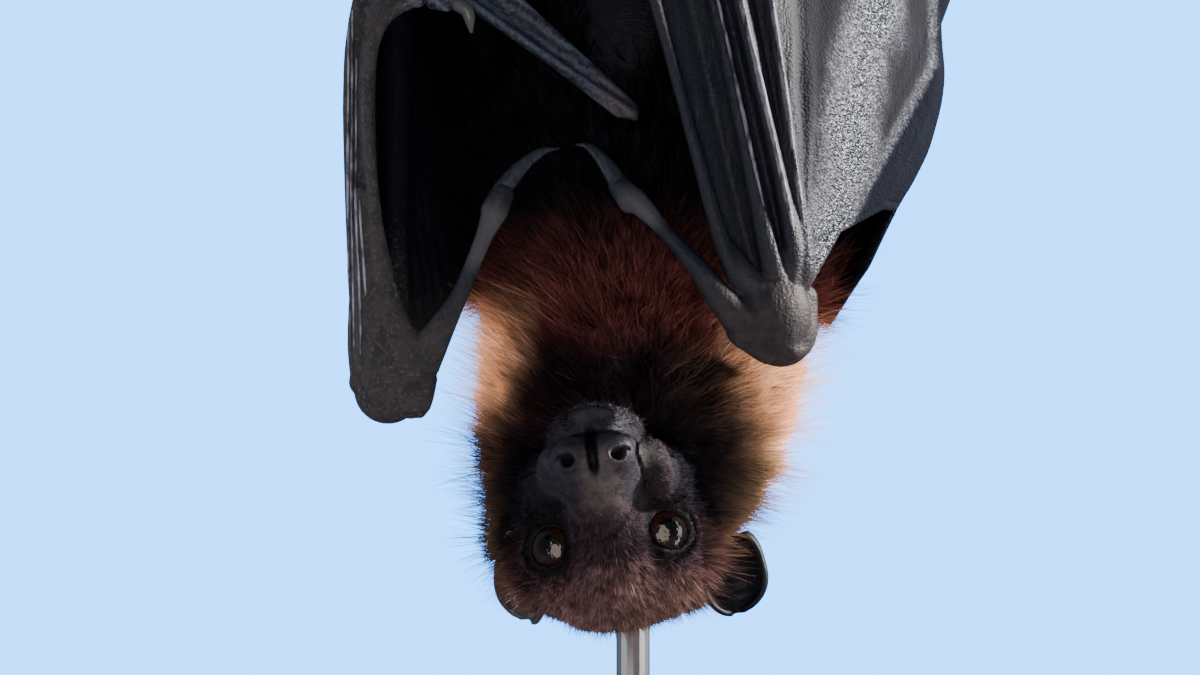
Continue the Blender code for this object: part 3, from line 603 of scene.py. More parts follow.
def press_face(clay):
    """Nostrils, lips, mouth and eyelids."""
    clay.add(head_egg(13, 0, -20, 13, 10.2, 5.6), 2.2)
    clay.add(head_egg(26, 0.6, -21, 2.2, 5, 1.8), 1.8)
    clay.add(head_egg(12.5, 11.6, -12.6, 8.4, 4.2, 4.8), 0.9)
    clay.add(head_egg(11.5, 13.4, -9.2, 7.6, 3.1, 4.2), 1.6)
    clay.add(head_egg(16, -8.8, -12.2, 10, 4.4, 5.4), 1.8)
    for way in SIDES.values():
        clay.add(head_egg(16, way * 6.4, -12.0, 10.6, 5.2, 5.0), 1.8)
        clay.add(head_egg(27.2, way * 4.4, -11.4, 4.6, 4.6, 4.6), 1.5)
        clay.add(hoop(on_head(30.9, way * 5.3, -9.8), AXES @ (0.95, way * 0.3, -0.1), 1.9, 0.62), 0.8)
    clay.score(drawn(((0, -17.4), (0, -12), (0, -9.5), (0, -7)), (0.4, 0.9, 0.8, 0.2), 20), 1.3, 1.6)
    lips = (
        (-12.5, -15.9), (-9.5, -16.5), (-5, -16.8), (0, -16.7), (5, -16.8), (9.5, -16.4), (12.5, -15.9),
    )  # fmt: skip
    clay.score(drawn(lips, (0.3,) * len(lips), 4), 1.1, 0.5)
    clay.score(drawn(((9.4, -16.3), (9.1, -12), (9.8, -7)), (0.25, 0.35, 0.2), 12), 0.9, 0.6)
    clay.score(drawn(((-1.4, -20.6), (2.2, -20.9)), (0.45, 0.35), 14), 0.5, 0.8)
    clay.score(drawn(((-3, -13.6), (-4.6, -14.8), (-7.4, -14.2)), (0.2, 0.2, 0.15), 14), 0.4, 0.5)
    for way in SIDES.values():
        hole = [(34, way * 6.2, -10.1), (30.4, way * 5.0, -9.8), (25.5, way * 3.6, -9)]
        size = 1.35 if way > 0 else 1.6
        clay.cut(head_rod(hole, [size, size * 0.92, 0.9]), 0.5)
        wing_of_nose = ((way * 5, -9.8), (way * 6.8, -11.2), (way * 8.2, -11))
        clay.score(drawn(wing_of_nose, (0.9, 0.4, 0.15), 14), 1.1, 0.6)
        corner = [(14, way * 13.2, -15.8), (6, way * 16, -14.8), (0, way * 17, -12.6)]
        clay.cut(head_rod(corner, [0.8, 0.8, 0.4]), 0.8)
    for side, way in SIDES.items():
        look = AXES @ (math.cos(math.radians(EYE_TURN)), way * math.sin(math.radians(EYE_TURN)), 0)
        clay.add(hoop(EYES[side] + look * 2.2, look, 5.4, 1.4), 1.6)
        clay.cut(egg(EYES[side], (EYE_RADIUS + 0.1,) * 3), 0.3)
        clay.cut(rod([EYES[side] + look * 2.5, EYES[side] + look * 14], [4.6, 5.8]), 0.6)
        clay.add(hoop(EYES[side] + look * 3.3, look, 4.95, 0.4), 0.4)


def trimmed(pieces, point, normal):
    """The part of a surface on the side that the normal looks to, open at the cut."""
    mesh = mesh_of(*pieces)
    work = bmesh.new()
    work.from_mesh(mesh)
    bmesh.ops.bisect_plane(
        work,
        geom=work.verts[:] + work.edges[:] + work.faces[:],
        plane_co=Vector(point) * MM,
        plane_no=Vector(normal),
        clear_inner=True,
    )
    work.to_mesh(mesh)
    work.free()
    return mesh


NECK_POINT, NECK_NORMAL = np.array((0, -18, 150.0)), unit(np.array((0, 0.62, 1.0)))
SEAM = 0.6  # half the gap that is bridged between the fine head and the coarser body


def body_surface():
    """Head and body in one: fine about the face, coarser behind, sewn along a ring under the mantle."""
    fine = Clay((-44, -58, 90), (36, 36, 160), 0.5)
    press_body(fine)
    press_face(fine)
    head = trimmed(lightened(fine.surface(), HEAD_TRIANGLES), NECK_POINT - NECK_NORMAL * SEAM, -NECK_NORMAL)
    coarse = Clay((-100, -45, 112), (100, 62, 400), 2.0)
    press_body(coarse)
    rest = trimmed(coarse.surface(), NECK_POINT + NECK_NORMAL * SEAM, NECK_NORMAL)
    work = bmesh.new()
    work.from_mesh(head)
    work.from_mesh(rest)
    bmesh.ops.remove_doubles(work, verts=work.verts[:], dist=1e-6)
    islands = sorted(islands_of(work), key=len)
    for island in islands[:-2]:
        bmesh.ops.delete(work, geom=island, context="FACES")
    rims = [e for e in work.edges if e.is_boundary]
    bmesh.ops.bridge_loops(work, edges=rims)
    bmesh.ops.recalc_face_normals(work, faces=work.faces)
    made = bpy.data.meshes.new("body")
    work.to_mesh(made)
    work.free()
    return pieces_of(made)


def islands_of(work):
    """The faces of each separate part of a mesh, always in the same order."""
    work.faces.index_update()
    seen, islands = set(), []
    for first in work.faces:
        if first.index in seen:
            continue
        seen.add(first.index)
        todo, island = [first], []
        while todo:
            face = todo.pop()
            island.append(face)
            for edge in face.edges:
                for other in edge.link_faces:
                    if other.index not in seen:
                        seen.add(other.index)
                        todo.append(other)
        islands.append(island)
    return islands


# ---- ears, wings and feet


def ear(side):
    """A leaf-shaped cup with its hollow turned forwards, a thicker rim and low ribs inside."""
    root, tip, hollow = (np.array(v, float) for v in EARS[side])
    axis = unit(tip - root)
    across = unit(np.cross(axis, hollow))
    hollow = np.cross(across, axis)
    rows, columns = 34, 25
    t = np.linspace(0, 1, rows)[:, None]
    s = np.linspace(-1, 1, columns)[None, :]
    width = 8.4 * np.sqrt(1 - np.abs(2 * (0.14 + 0.855 * t) - 1) ** 2.6)
    curl = 1.4 * np.abs(s) ** 6 * np.sin(math.pi * t)
    depth = 4.8 * (s * s * width / 7.6 - 0.4 * np.sin(math.pi * t)) + curl
    depth = depth + 0.22 * np.sin(t * 42) * (1 - s * s) * ease(t, 0.2, 0.5) * ease(t, 1, 0.8)
    local = root + (tip - root) * t[..., None] + across * (width * s * (1 - 0.06 * np.abs(s) ** 4))[..., None]
    local = local + hollow * depth[..., None]
    grid = EYE_LEVEL + local @ AXES.T
    thick = 0.7 + 0.55 * np.abs(s) ** 8 + 0.9 * (1 - ease(t, 0, 0.4)) + 0 * t
    thick = np.maximum(thick, 1.1 * ease(t, 0.93, 1))
    return sheet(grid, np.broadcast_to(thick, (rows, columns)))


def forearm_path(side, count=9):
    wrist, elbow = np.array(WRIST[side], float), np.array(ELBOW[side], float)
    share = np.linspace(0, 1, count)[:, None]
    bow = np.array((SIDES[side], -0.15, 0)) * FOREARM_BOW[side] * np.sin(math.pi * share)
    return wrist + (elbow - wrist) * share + bow


def web(first, second, slack, pleats, thickness, columns=25):
    """The membrane between two fingers: it sags by slack at its middle, in that many small pleats."""
    share = np.linspace(0, 1, columns)[None, :, None]
    first, second = first[:, None, :], second[:, None, :]
    wide = np.linalg.norm(second - first, axis=-1, keepdims=True)
    give = np.array(slack, float) * np.minimum(1, wide / 9)
    grid = first + (second - first) * share + give * np.sin(math.pi * share)
    fine = 0.42 * np.minimum(1, wide[..., 0] / 6) * np.sin(2 * math.pi * pleats * share[..., 0])
    return sheet(push(grid, fine * np.sin(math.pi * share[..., 0])), thickness)


def ball(centre, radii, lean=0):
    """(points, faces) of an ellipsoid, leaned over by that many degrees."""
    turn = np.array(Matrix.Rotation(math.radians(lean), 3, "Y"))
    rows, columns = 25, 32
    a = np.linspace(0.04, math.pi - 0.04, rows)[:, None]
    b = np.linspace(0, 2 * math.pi, columns, endpoint=False)[None, :]
    points = np.stack([np.sin(a) * np.cos(b), np.sin(a) * np.sin(b), np.cos(a) + 0 * b], axis=-1) * radii
    return points.reshape(-1, 3) @ turn.T + centre, capped_faces(rows, columns)


def finger_paths(side):
    return {finger: spline(FINGERS[side][finger], 49) for finger in FINGER_ORDER}


def hand(side):
    """The wrist, the thumb and four finger bones with the membrane pleated between them."""
    out = SIDES[side]
    slack = (-0.5, 2.4, 0) if side == "right" else (2.4, 0.3, 0)
    wrist = np.array(WRIST[side], float)
    pieces = [
        ball(wrist + (out * -1, -2.2, 1), (8.6, 7.2, 9.8), out * -14),
        ball(wrist + (out * 1.2, 1, -3), (7.4, 6.6, 7.4)),
    ]
    for line, radii in PALM[side]:
        pieces.append(tube(line, radii, flat=0.72, rings=20))
    paths = finger_paths(side)
    for finger in FINGER_ORDER:
        sizes = [FINGER_RADIUS[finger] * share for share in (1.5, 1.05, 0.85, 0.8, 0.85, 1.3)]
        pieces.append(tube(paths[finger], sizes, rings=49))
    for one, other in zip(FINGER_ORDER, FINGER_ORDER[1:], strict=False):
        pieces.append(web(paths[one], paths[other], slack, 2, 1.15))
    pieces.append(tube([wrist + (out * -2, -3, 0), *THUMB[side]], THUMB_RADIUS[side], rings=41, flat=0.85))
    return fused(pieces, 0.4, 1, HAND_TRIANGLES)


def ridges(side, skin):
    """The thin hard edges that stand up along the right fingers, and along the left hand's pleats."""
    if side == "right":
        paths = finger_paths(side)
        knobs, slight = [0.4, 0.75, 0.5, 0.8, 0.55, 0.75, 0.5, 0.7, 0.4], [0.3, 0.45, 0.35, 0.45, 0.3]
        return joined(
            tube(paths["five"][3:46] + (0.4, -1.5, 0), knobs, sides=10, rings=60),
            tube(paths["four"][3:46] + (0.5, -1.4, 0), knobs, sides=10, rings=60),
            tube(paths["three"][4:46] + (0.9, -1.5, 0), slight, sides=8, rings=60),
        )
    made, shell = [], BVHTree.FromPolygons([Vector(p) for p in skin[0]], skin[1])
    for low, high, bottom, top in PLEATS:
        line = []
        for z in np.linspace(bottom, top, 60):
            x = low + (high - low) * ease(z, 158, 196)
            place = shell.ray_cast(Vector((x, -90, z)), Vector((0, 1, 0)))[0]
            if place is not None:
                line.append(np.array(place) + (0, -0.08, 0))
        sizes = [0.15, 0.3, 0.24, 0.34, 0.24, 0.3, 0.15]
        made.append(tube(np.array(line[::3]), sizes, sides=6, rings=60))
    return joined(*made)


def fold(side):
    """The end of the third finger, folded back on itself, with pleated membrane between its two lengths."""
    knuckle, joint, tip = (np.array(p, float) for p in FOLD[side])
    near = joint + (0.5, 1.5, 2.5)
    first, second = spline((knuckle, joint), 40), spline((tip, near, joint + (0.2, 0.6, 1)), 40)
    pieces = [
        tube((knuckle, joint), [1.8, 1.2, 1.1, 1.2, 1.9], rings=40),
        tube((joint, near, tip), [1.6, 1.1, 0.9, 0.8], rings=40),
        web(first, second, (0, 1.5, -1.5), 3, 1.0),
    ]
    return fused(pieces, 0.42, 1, FOLD_TRIANGLES)


def between(front, back, rows, columns, bulge, inset=(0.0, 1.0)):
    """A grid between two curves, pushed outwards by bulge at its middle."""
    picks, index = np.linspace(*inset, rows) * (FINE - 1), np.arange(FINE)
    a, b = (read_along(picks, index, spline(line, FINE))[:, None, :] for line in (front, back))
    share = np.linspace(0, 1, columns)[None, :, None]
    swell = np.sin(math.pi * np.linspace(0, 1, rows))[:, None, None]
    return a + (b - a) * share + np.array(bulge, float) * swell * np.sin(math.pi * share)


def ankle(side, out=0.0, back=0.0, lower=0.0):
    """A place near the ankle."""
    return (SIDES[side] * (ANKLE[0] + out), ANKLE[1] + back, ANKLE[2] - lower)


def arm_membrane(side):
    """The broad membrane from the fifth finger to the forearm, with pleats that fan out from the wrist."""
    out = SIDES[side]
    lead = [*FINGERS[side]["five"], *TRAILING[side], ankle(side, 3, 1, 6)]
    front = np.outer(spread(ARM_RADIUS, 5), (out * 0.66, -0.52, 0))
    ridge = [*(forearm_path(side, 5) + front), ELBOW_TO_ANKLE[side], ankle(side, 7, 3, 3)]
    ridge[0] = np.array(WRIST[side]) + (out * 3, 1, 6)
    rows, columns = 88, 42
    grid = between(lead, ridge, rows, columns, (out * 3.0, -2.5, 0), (0.03, 0.97))
    t, s = shares(rows, columns)
    edge = np.sin(math.pi * s) ** 0.5
    fan = np.sin(s * 46 + 2.2 * grid_ripple(grid, 60, 3)) * (1 - ease(s, 0.1, 0.4)) * 0.7
    folds = np.sin(s * 21 + t * 5) * ease(t, 0.3, 0.6) * 0.9 + grid_ripple(grid, 34, 5) * 0.8
    near = grid_ripple(grid, 7, 8, (1, 1, 0.35)) * 0.28
    return sheet(push(grid, out * edge * ease(t, 0, 0.1) * (fan + folds + near)), 0.95)


def back_membrane(side):
    """The membrane from the upper arm and the elbow's line to the flank."""
    shoulder, elbow = upper_arm(side)
    arm = spline((shoulder, elbow), 5)[2:]
    line = [shoulder + (0, 3, 4), *arm, ELBOW_TO_ANKLE[side], ankle(side, 7, 4, 6)]
    rows, columns = 56, 30
    grid = between(line, flip(FLANK, side), rows, columns, (SIDES[side] * 4, 6, 0), (0.12, 0.96))
    t, s = shares(rows, columns)
    wrinkles = grid_ripple(grid, 26, 11) * 0.9 + np.sin(t * 60 + s * 4) * 0.35 * (1 - s)
    return sheet(push(grid, np.sin(math.pi * s) * wrinkles), 0.95)


def elbow_membrane(side):
    """The membrane between forearm and upper arm, whose rolled free edge arches from wrist to shoulder."""
    rows, columns = 34, 44
    forearm = spline(forearm_path(side), FINE)
    shoulder, elbow = upper_arm(side)
    edge_stand, edge_share, inner, swell = ELBOW_SKIN[side]
    t, s = shares(rows, columns)
    share = spread(edge_share, columns)[None, :] * (1 - t) + 0.8 * t
    front = read_along(share, np.arange(FINE) / (FINE - 1), forearm)
    front = front + (elbow - forearm[0]) * np.minimum(share, 0)[..., None]
    rear = shoulder + (elbow - shoulder) * share[..., None]
    fade = t**1.3
    stand = spread(edge_stand, columns)[None, :] * (1 - fade) + (3 + inner * np.sin(math.pi * s)) * fade
    stand = stand + swell * np.sin(math.pi * np.minimum(t / 0.6, 1)) * np.sin(math.pi * s)
    stand = stand[..., None] * np.array((SIDES[side], 0, 0))
    grid = front + (rear - front) * s[..., None] + stand
    wrinkle = grid_ripple(grid, 12, 17) * 0.3 + 0.25 * np.sin(s * 70) * (1 - ease(t, 0.0, 0.5))
    grid = push(grid, wrinkle * np.sin(math.pi * s) * ease(t, 0, 0.06))
    inwards = np.linspace(0, 1, 7)[None, 1:, None]
    tuck = grid[:, -1:] + (rear[:, -1:] + (0, 3, 0) - grid[:, -1:]) * inwards
    grid = np.concatenate([grid, tuck], axis=1)
    rim = tube(grid[0, :columns], [0.8, 1.2, 1.25, 0.8], sides=12, rings=60)
    return joined(sheet(grid, 0.95), rim)


def foot(side):
    """(flesh, claws): the sole and five toes hooked over the branch, and the claw at the end of each toe."""
    out = SIDES[side]
    heel = np.array(ankle(side))
    sole = [heel + (0, 0, -3), heel + (0, 0.6, 3), heel + (0, 1.2, 9)]
    sole.append((out * ANKLE[0], 14.2, PERCH_HEIGHT - 1))
    pieces = [
        tube(sole, [2.8, 3.2, 4.2, 5.6], flat=0.55, rings=25),
        tube(sole[2:], [3.6, 6.4], flat=0.4, rings=12),
    ]
    claws = []
    bumps = [1.5, 1.7, 1.75, 1.5, 1.8, 1.45, 1.35, 1.6, 1.2, 1.0]
    for toe in range(5):
        across = out * ANKLE[0] + (toe - 2) * 3.3
        line = []
        for step in range(12):
            angle = math.radians(-22 + step * 16.5)
            reach = PERCH_RADIUS + 2.0 - max(0, step - 8) * 0.3
            line.append((across, reach * math.cos(angle), PERCH_HEIGHT + reach * math.sin(angle)))
        pieces.append(tube(line[:9], bumps, sides=14, rings=36))
        hook = []
        for step in range(7):
            angle = math.radians(100 + step * 13)
            reach = PERCH_RADIUS + 2.3 + 0.7 * math.sin(math.pi * step / 6) - step * 0.16
            hook.append((across, reach * math.cos(angle), PERCH_HEIGHT + reach * math.sin(angle)))
        claws.append(tube(hook, [1.0, 1.15, 1.0, 0.8, 0.5, 0.2], sides=12, rings=22, flat=1.25))
    return fused(pieces, 0.38, 2, FOOT_TRIANGLES), joined(*claws)


# ---- finishes


class Value:
    """A number that changes over a surface. A sum with it adds the shader's own Math nodes."""

    def __init__(self, finish, socket):
        self.finish, self.socket = finish, socket

    def sum(self, operation, first, second=None):
        inputs = {0: first} if second is None else {0: first, 1: second}
        return self.finish.node("ShaderNodeMath", {"operation": operation}, inputs)

    def __add__(self, other):
        return self.sum("ADD", self, other)

    __radd__ = __add__

    def __sub__(self, other):
        return self.sum("SUBTRACT", self, other)

    def __rsub__(self, other):
        return self.sum("SUBTRACT", other, self)

    def __mul__(self, other):
        return self.sum("MULTIPLY", self, other)

    __rmul__ = __mul__

    def __truediv__(self, other):
        return self.sum("DIVIDE", self, other)

    def __pow__(self, other):
        return self.sum("POWER", self, other)

    def __abs__(self):
        return self.sum("ABSOLUTE", self)

    def sine(self):
        return self.sum("SINE", self)

    def least(self, other):
        return self.sum("MINIMUM", self, other)

    def most(self, other):
        return self.sum("MAXIMUM", self, other)


class Finish:
    """A material in the making."""

    def __init__(self, name):
        self.material = bpy.data.materials.new(name)
        self.material.use_nodes = True
        self.tree = self.material.node_tree
        self.tree.nodes.clear()

    def node(self, kind, settings=None, inputs=None, output=0):
        made = self.tree.nodes.new(kind)
        for name, value in (settings or {}).items():
            if name == "stops":
                ramp = made.color_ramp
                while len(ramp.elements) < len(value):
                    ramp.elements.new(0.5)
                for element, (place, colour) in zip(ramp.elements, value, strict=True):
                    element.position, element.color = place, (*colour, 1)
            else:
                setattr(made, name, value)
        for name, value in (inputs or {}).items():
            socket = made.inputs[name]
            if isinstance(value, Value):
                self.tree.links.new(value.socket, socket)
            elif isinstance(value, tuple) and socket.type == "RGBA":
                socket.default_value = (*value, 1)
            else:
                socket.default_value = value
        return Value(self, made.outputs[output])

    def place(self):
        """Where a point is, in millimetres: the whole vector, then x, y and z."""
        metres = self.node("ShaderNodeTexCoord", output=3)
        spot = self.node("ShaderNodeVectorMath", {"operation": "SCALE"}, {0: metres, "Scale": 1 / MM})
        split = self.node("ShaderNodeSeparateXYZ", inputs={0: spot})
        node = split.socket.node
        return spot, *(Value(self, node.outputs[i]) for i in range(3))

    def dot(self, spot, point, way):
        """How far the spot is from a point, along a direction."""
        offset = self.vector("SUBTRACT", spot, point)
        return self.vector("DOT_PRODUCT", offset, way, output=1)

    def far(self, spot, point):
        """How far the spot is from a point."""
        return self.vector("DISTANCE", spot, point, output=1)

    def vector(self, operation, spot, numbers, output=0):
        inputs = {0: spot, 1: tuple(map(float, numbers))}
        return self.node("ShaderNodeVectorMath", {"operation": operation}, inputs, output)

    def stretch(self, spot, scale, turn=(0.0, 0.0, 0.0)):
        return self.node("ShaderNodeMapping", None, {0: spot, "Scale": scale, "Rotation": turn})

    def noise(self, spot, size, detail=3.0, rough=0.5):
        """Cloudy values from 0 to 1, of about that size in millimetres."""
        inputs = {"Vector": spot, "Scale": 1 / size, "Detail": detail, "Roughness": rough}
        return self.node("ShaderNodeTexNoise", None, inputs)

    def cells(self, spot, size, feature="F1"):
        return self.node("ShaderNodeTexVoronoi", {"feature": feature}, {"Vector": spot, "Scale": 1 / size})

    def ease(self, value, low, high):
        """0 at low and 1 at high, with soft ends."""
        inputs = {"Value": value, "From Min": low, "From Max": high}
        return self.node("ShaderNodeMapRange", {"interpolation_type": "SMOOTHSTEP"}, inputs)

    def mix(self, mask, first, second, kind="MIX"):
        """The first colour where the mask is 0 and the second where it is 1."""
        settings = {"data_type": "RGBA", "blend_type": kind}
        return self.node("ShaderNodeMix", settings, {0: mask, 6: first, 7: second}, output=2)

    def number(self, name):
        """A number stored on the mesh."""
        return self.node("ShaderNodeAttribute", {"attribute_name": name}, output=2)

    def bump(self, height, depth, strength=1.0, under=None):
        """Relief from heights between 0 and 1, depth millimetres deep."""
        inputs = {"Height": height, "Distance": depth * MM, "Strength": strength}
        if under is not None:
            inputs["Normal"] = under
        return self.node("ShaderNodeBump", None, inputs)

    def grey(self, value):
        """The same value in all three channels."""
        return self.node("ShaderNodeCombineXYZ", None, {0: value, 1: value, 2: value})

    def blend(self, share, first, second):
        """The first shader where the share is 0 and the second where it is 1."""
        return self.node("ShaderNodeMixShader", None, {0: share, 1: first, 2: second})

    def through(self, colour):
        """A thin skin or hair that light passes."""
        return self.node("ShaderNodeBsdfTranslucent", None, {"Color": colour})

    def surface(self, **inputs):
        sockets = {}
        for name, value in inputs.items():
            sockets[name.replace("_", " ").title().replace("Ior", "IOR")] = value
        return self.node("ShaderNodeBsdfPrincipled", None, sockets)

    def done(self, shader):
        end = self.tree.nodes.new("ShaderNodeOutputMaterial")
        self.tree.links.new(shader.socket, end.inputs["Surface"])
        return self.material


BLACK_FUR = (0.0085, 0.0075, 0.0115)
CHESTNUT = (0.145, 0.044, 0.038)
GOLD = (0.68, 0.415, 0.26)
RUST = (0.3, 0.12, 0.055)
CROWN = (0.165, 0.092, 0.086)
MAROON = (0.052, 0.021, 0.025)
SHADOWED = (0.055, 0.019, 0.016)
FACE = (0.046, 0.028, 0.035)
MUZZLE = (0.042, 0.035, 0.046)
BRIDGE = (0.15, 0.112, 0.104)
FLAP = (0.04, 0.03, 0.03)
LID = (0.006, 0.0045, 0.005)


def markings(finish):
    """The bat's colours over skin and coat alike, with shade painted in as black fur on the left flank, the
    throat and the cheeks, and the places that the finishes ask for.
    """
    spot, x, y, z = finish.place()
    f, r, c = (finish.dot(spot, EYE_LEVEL, AXES[:, i]) for i in range(3))
    blotch = finish.noise(spot, 9.0, 2.0) - 0.5
    height = z + blotch * 12
    rear = finish.ease(y + blotch * 8, 14, 28)
    neck = finish.dot(spot, NECK_POINT, NECK_NORMAL) + blotch * 8
    colour = finish.mix(finish.ease(height, 196, 171) * (1 - rear), BLACK_FUR, CHESTNUT)
    # Black fur on the left flank beside the thumb, with the shade under the wing there painted in as black
    # too
    flank = finish.ease(x + 131.7 - z * 0.54 + blotch * 6, 0, -7)
    colour = finish.mix(flank, colour, BLACK_FUR)
    aside = finish.ease(abs(x + 2.0) + blotch * 10, 17, 30).most(finish.ease(y + blotch * 6, -4, 12))
    mantle = (finish.ease(height + x * 0.1, 176, 166) * aside).most(finish.ease(height, 206, 184) * rear)
    gold = finish.mix(finish.ease(height, 184, 160), RUST, GOLD)
    colour = finish.mix(mantle, colour, gold)
    # Black fur on the throat, with the shadow under the chin painted in as black too, and a dark parting
    wide = (z - 150).most(0.0) * 0.6 + abs(x + 4.0) + blotch * 8
    throat_and_chin_shadow = finish.ease(wide, 29, 19) * finish.ease(height, 167, 156) * finish.ease(y, 2, -12)
    parting = finish.ease(abs(x - 17) + abs(z - 155) * 1.6 + blotch * 4, 8, 4) * finish.ease(y, -10, -18)
    dark = throat_and_chin_shadow.most(parting)
    colour = finish.mix(dark, colour, BLACK_FUR)
    low = finish.ease(x + blotch * 10, -12, -22) * finish.ease(height, 155, 143)
    low = low * finish.ease(y + blotch * 14, 24, 10)
    colour = finish.mix(low * 0.95, colour, SHADOWED)
    pelt = finish.ease(neck, 6, -5)
    colour = finish.mix(pelt, colour, MAROON)
    face = finish.ease(f + blotch * 5 - abs(c + 4) * 0.35, -16, -4) * finish.ease(neck, 2, -6)
    colour = finish.mix(face, colour, FACE)
    crown = finish.ease(c + blotch * 8, 3.5, 12.5) * finish.ease(f, 16, 6) * finish.ease(neck, 4, -4)
    colour = finish.mix(crown * 0.9, colour, CROWN)
    bare = finish.ease(f, 20, 25)
    snout = finish.ease(f + blotch * 4, 7, 15) * finish.ease(abs(r), 13, 9.5) * finish.ease(c, -1, -5)
    colour = finish.mix(snout * finish.ease(neck, 2, -6), colour, MUZZLE)
    slot = finish.ease(abs(r), 1.7, 0.8) * finish.ease(f, 22, 25)
    slot = slot * finish.ease(c, -6, -8) * finish.ease(c, -18, -17)
    # Black fur on the cheeks beside the lip flaps, with the shade there painted in as black too
    cheek_black_and_shade = finish.ease(abs(r - 0.5), 7.5, 10.5) * finish.ease(c, -1, -8) * finish.ease(f, 17, 10)
    colour = finish.mix(cheek_black_and_shade * finish.ease(neck, 4, -4) * 0.95, colour, BLACK_FUR)
    bridge = finish.ease(abs(r - 0.8), 6, 2) * finish.ease(c, 0.5, -3)
    bridge = bridge * finish.ease(c, -14, -10) * finish.ease(neck, 0, -6)
    colour = finish.mix(bridge * finish.ease(f, 9, 14) * (0.75 + blotch), colour, BRIDGE)
    colour = finish.mix(slot, colour, LID)
    flap = finish.ease(r, 8.6, 10.2) * finish.ease(r, 15.5, 13.5)
    flap = flap * finish.ease(f, 6, 10) * finish.ease(abs(c + 11), 7.5, 5)
    colour = finish.mix(flap, colour, FLAP)
    gap = finish.far(spot, EYES["right"]).least(finish.far(spot, EYES["left"]))
    colour = finish.mix(finish.ease(gap, 9, 6.6), colour, LID)
    lit_through = (mantle * (1 - dark) * (1 - low) * 0.3).most(0.012) * (1 - pelt)
    passes = lit_through + pelt * (1 - face) * (0.035 + finish.ease(x, -10, 8) * 0.075)
    found = {"colour": colour, "bare": bare, "spot": spot, "passes": passes}
    return found | {"gap": gap, "crown": crown, "pelt": pelt}


def coat_finish():
    """Hair: dark at the root, lighter towards the tip, and lit through where it is pale. Its darker roots are
    partly painted shade inside the coat, and its golden tips partly a painted highlight.
    """
    finish = Finish("coat")
    found = markings(finish)
    along, shade = finish.number("along"), finish.number("shade")
    # Painted shade inside the coat: hair darker towards its root, times each tuft's own tone
    light = (finish.ease(along, 0.0, 0.9) * 1.25 + 0.1) * (shade**1.4 * 2.7 + 0.15)
    colour = finish.mix(1.0, found["colour"], finish.grey(light), "MULTIPLY")
    # Golden tips, most on the crown: partly grizzled hair, partly a painted highlight of lit tips
    frost_and_lit_tips = finish.ease(along, 0.4, 1.0) * finish.ease(shade, 0.5, 0.95)
    frost_and_lit_tips = frost_and_lit_tips * (0.025 + found["crown"] * 0.52 + found["pelt"] * 0.06)
    colour = finish.mix(frost_and_lit_tips, colour, (0.5, 0.3, 0.23))
    solid = finish.surface(base_color=colour, roughness=0.6, specular_ior_level=0.04)
    passes = found["passes"] * (along * 0.6 + 0.4)
    return finish.done(finish.blend(passes, solid, finish.through((0.9, 0.55, 0.3))))


def hide_finish():
    """Skin of the head, body and feet: bare on the muzzle, lips and lids, and dull under the coat, with
    painted shade in mottled patches.
    """
    finish = Finish("hide")
    found = markings(finish)
    spot, bare, gap = found["spot"], found["bare"], found["gap"]
    # Painted shade meant for the skin under the coat: the markings at 0.45, mixed in by mottled patches over
    # all the skin
    dark = finish.mix(1.0, found["colour"], (0.45, 0.45, 0.45), "MULTIPLY")
    mottle = finish.noise(spot, 2.2, 4.0, 0.6)
    skin = finish.mix(finish.ease(mottle, 0.3, 0.75), dark, found["colour"])
    brim = finish.ease(gap, 6.15, 5.95)
    skin = finish.mix(brim, skin, (0.04, 0.026, 0.022))
    pores = finish.cells(spot, 0.5)
    creases = finish.noise(finish.stretch(spot, (0.5, 0.5, 1.6)), 1.5, 4.0, 0.65)
    relief = finish.bump(creases, 0.42, 0.8, finish.bump(pores, 0.14, 0.7))
    rough = 0.85 - finish.ease(mottle, 0.35, 0.7) * 0.12 * bare - bare * 0.3 - brim * 0.2
    return finish.done(
        finish.surface(base_color=skin, roughness=rough, specular_ior_level=0.3, normal=relief)
    )


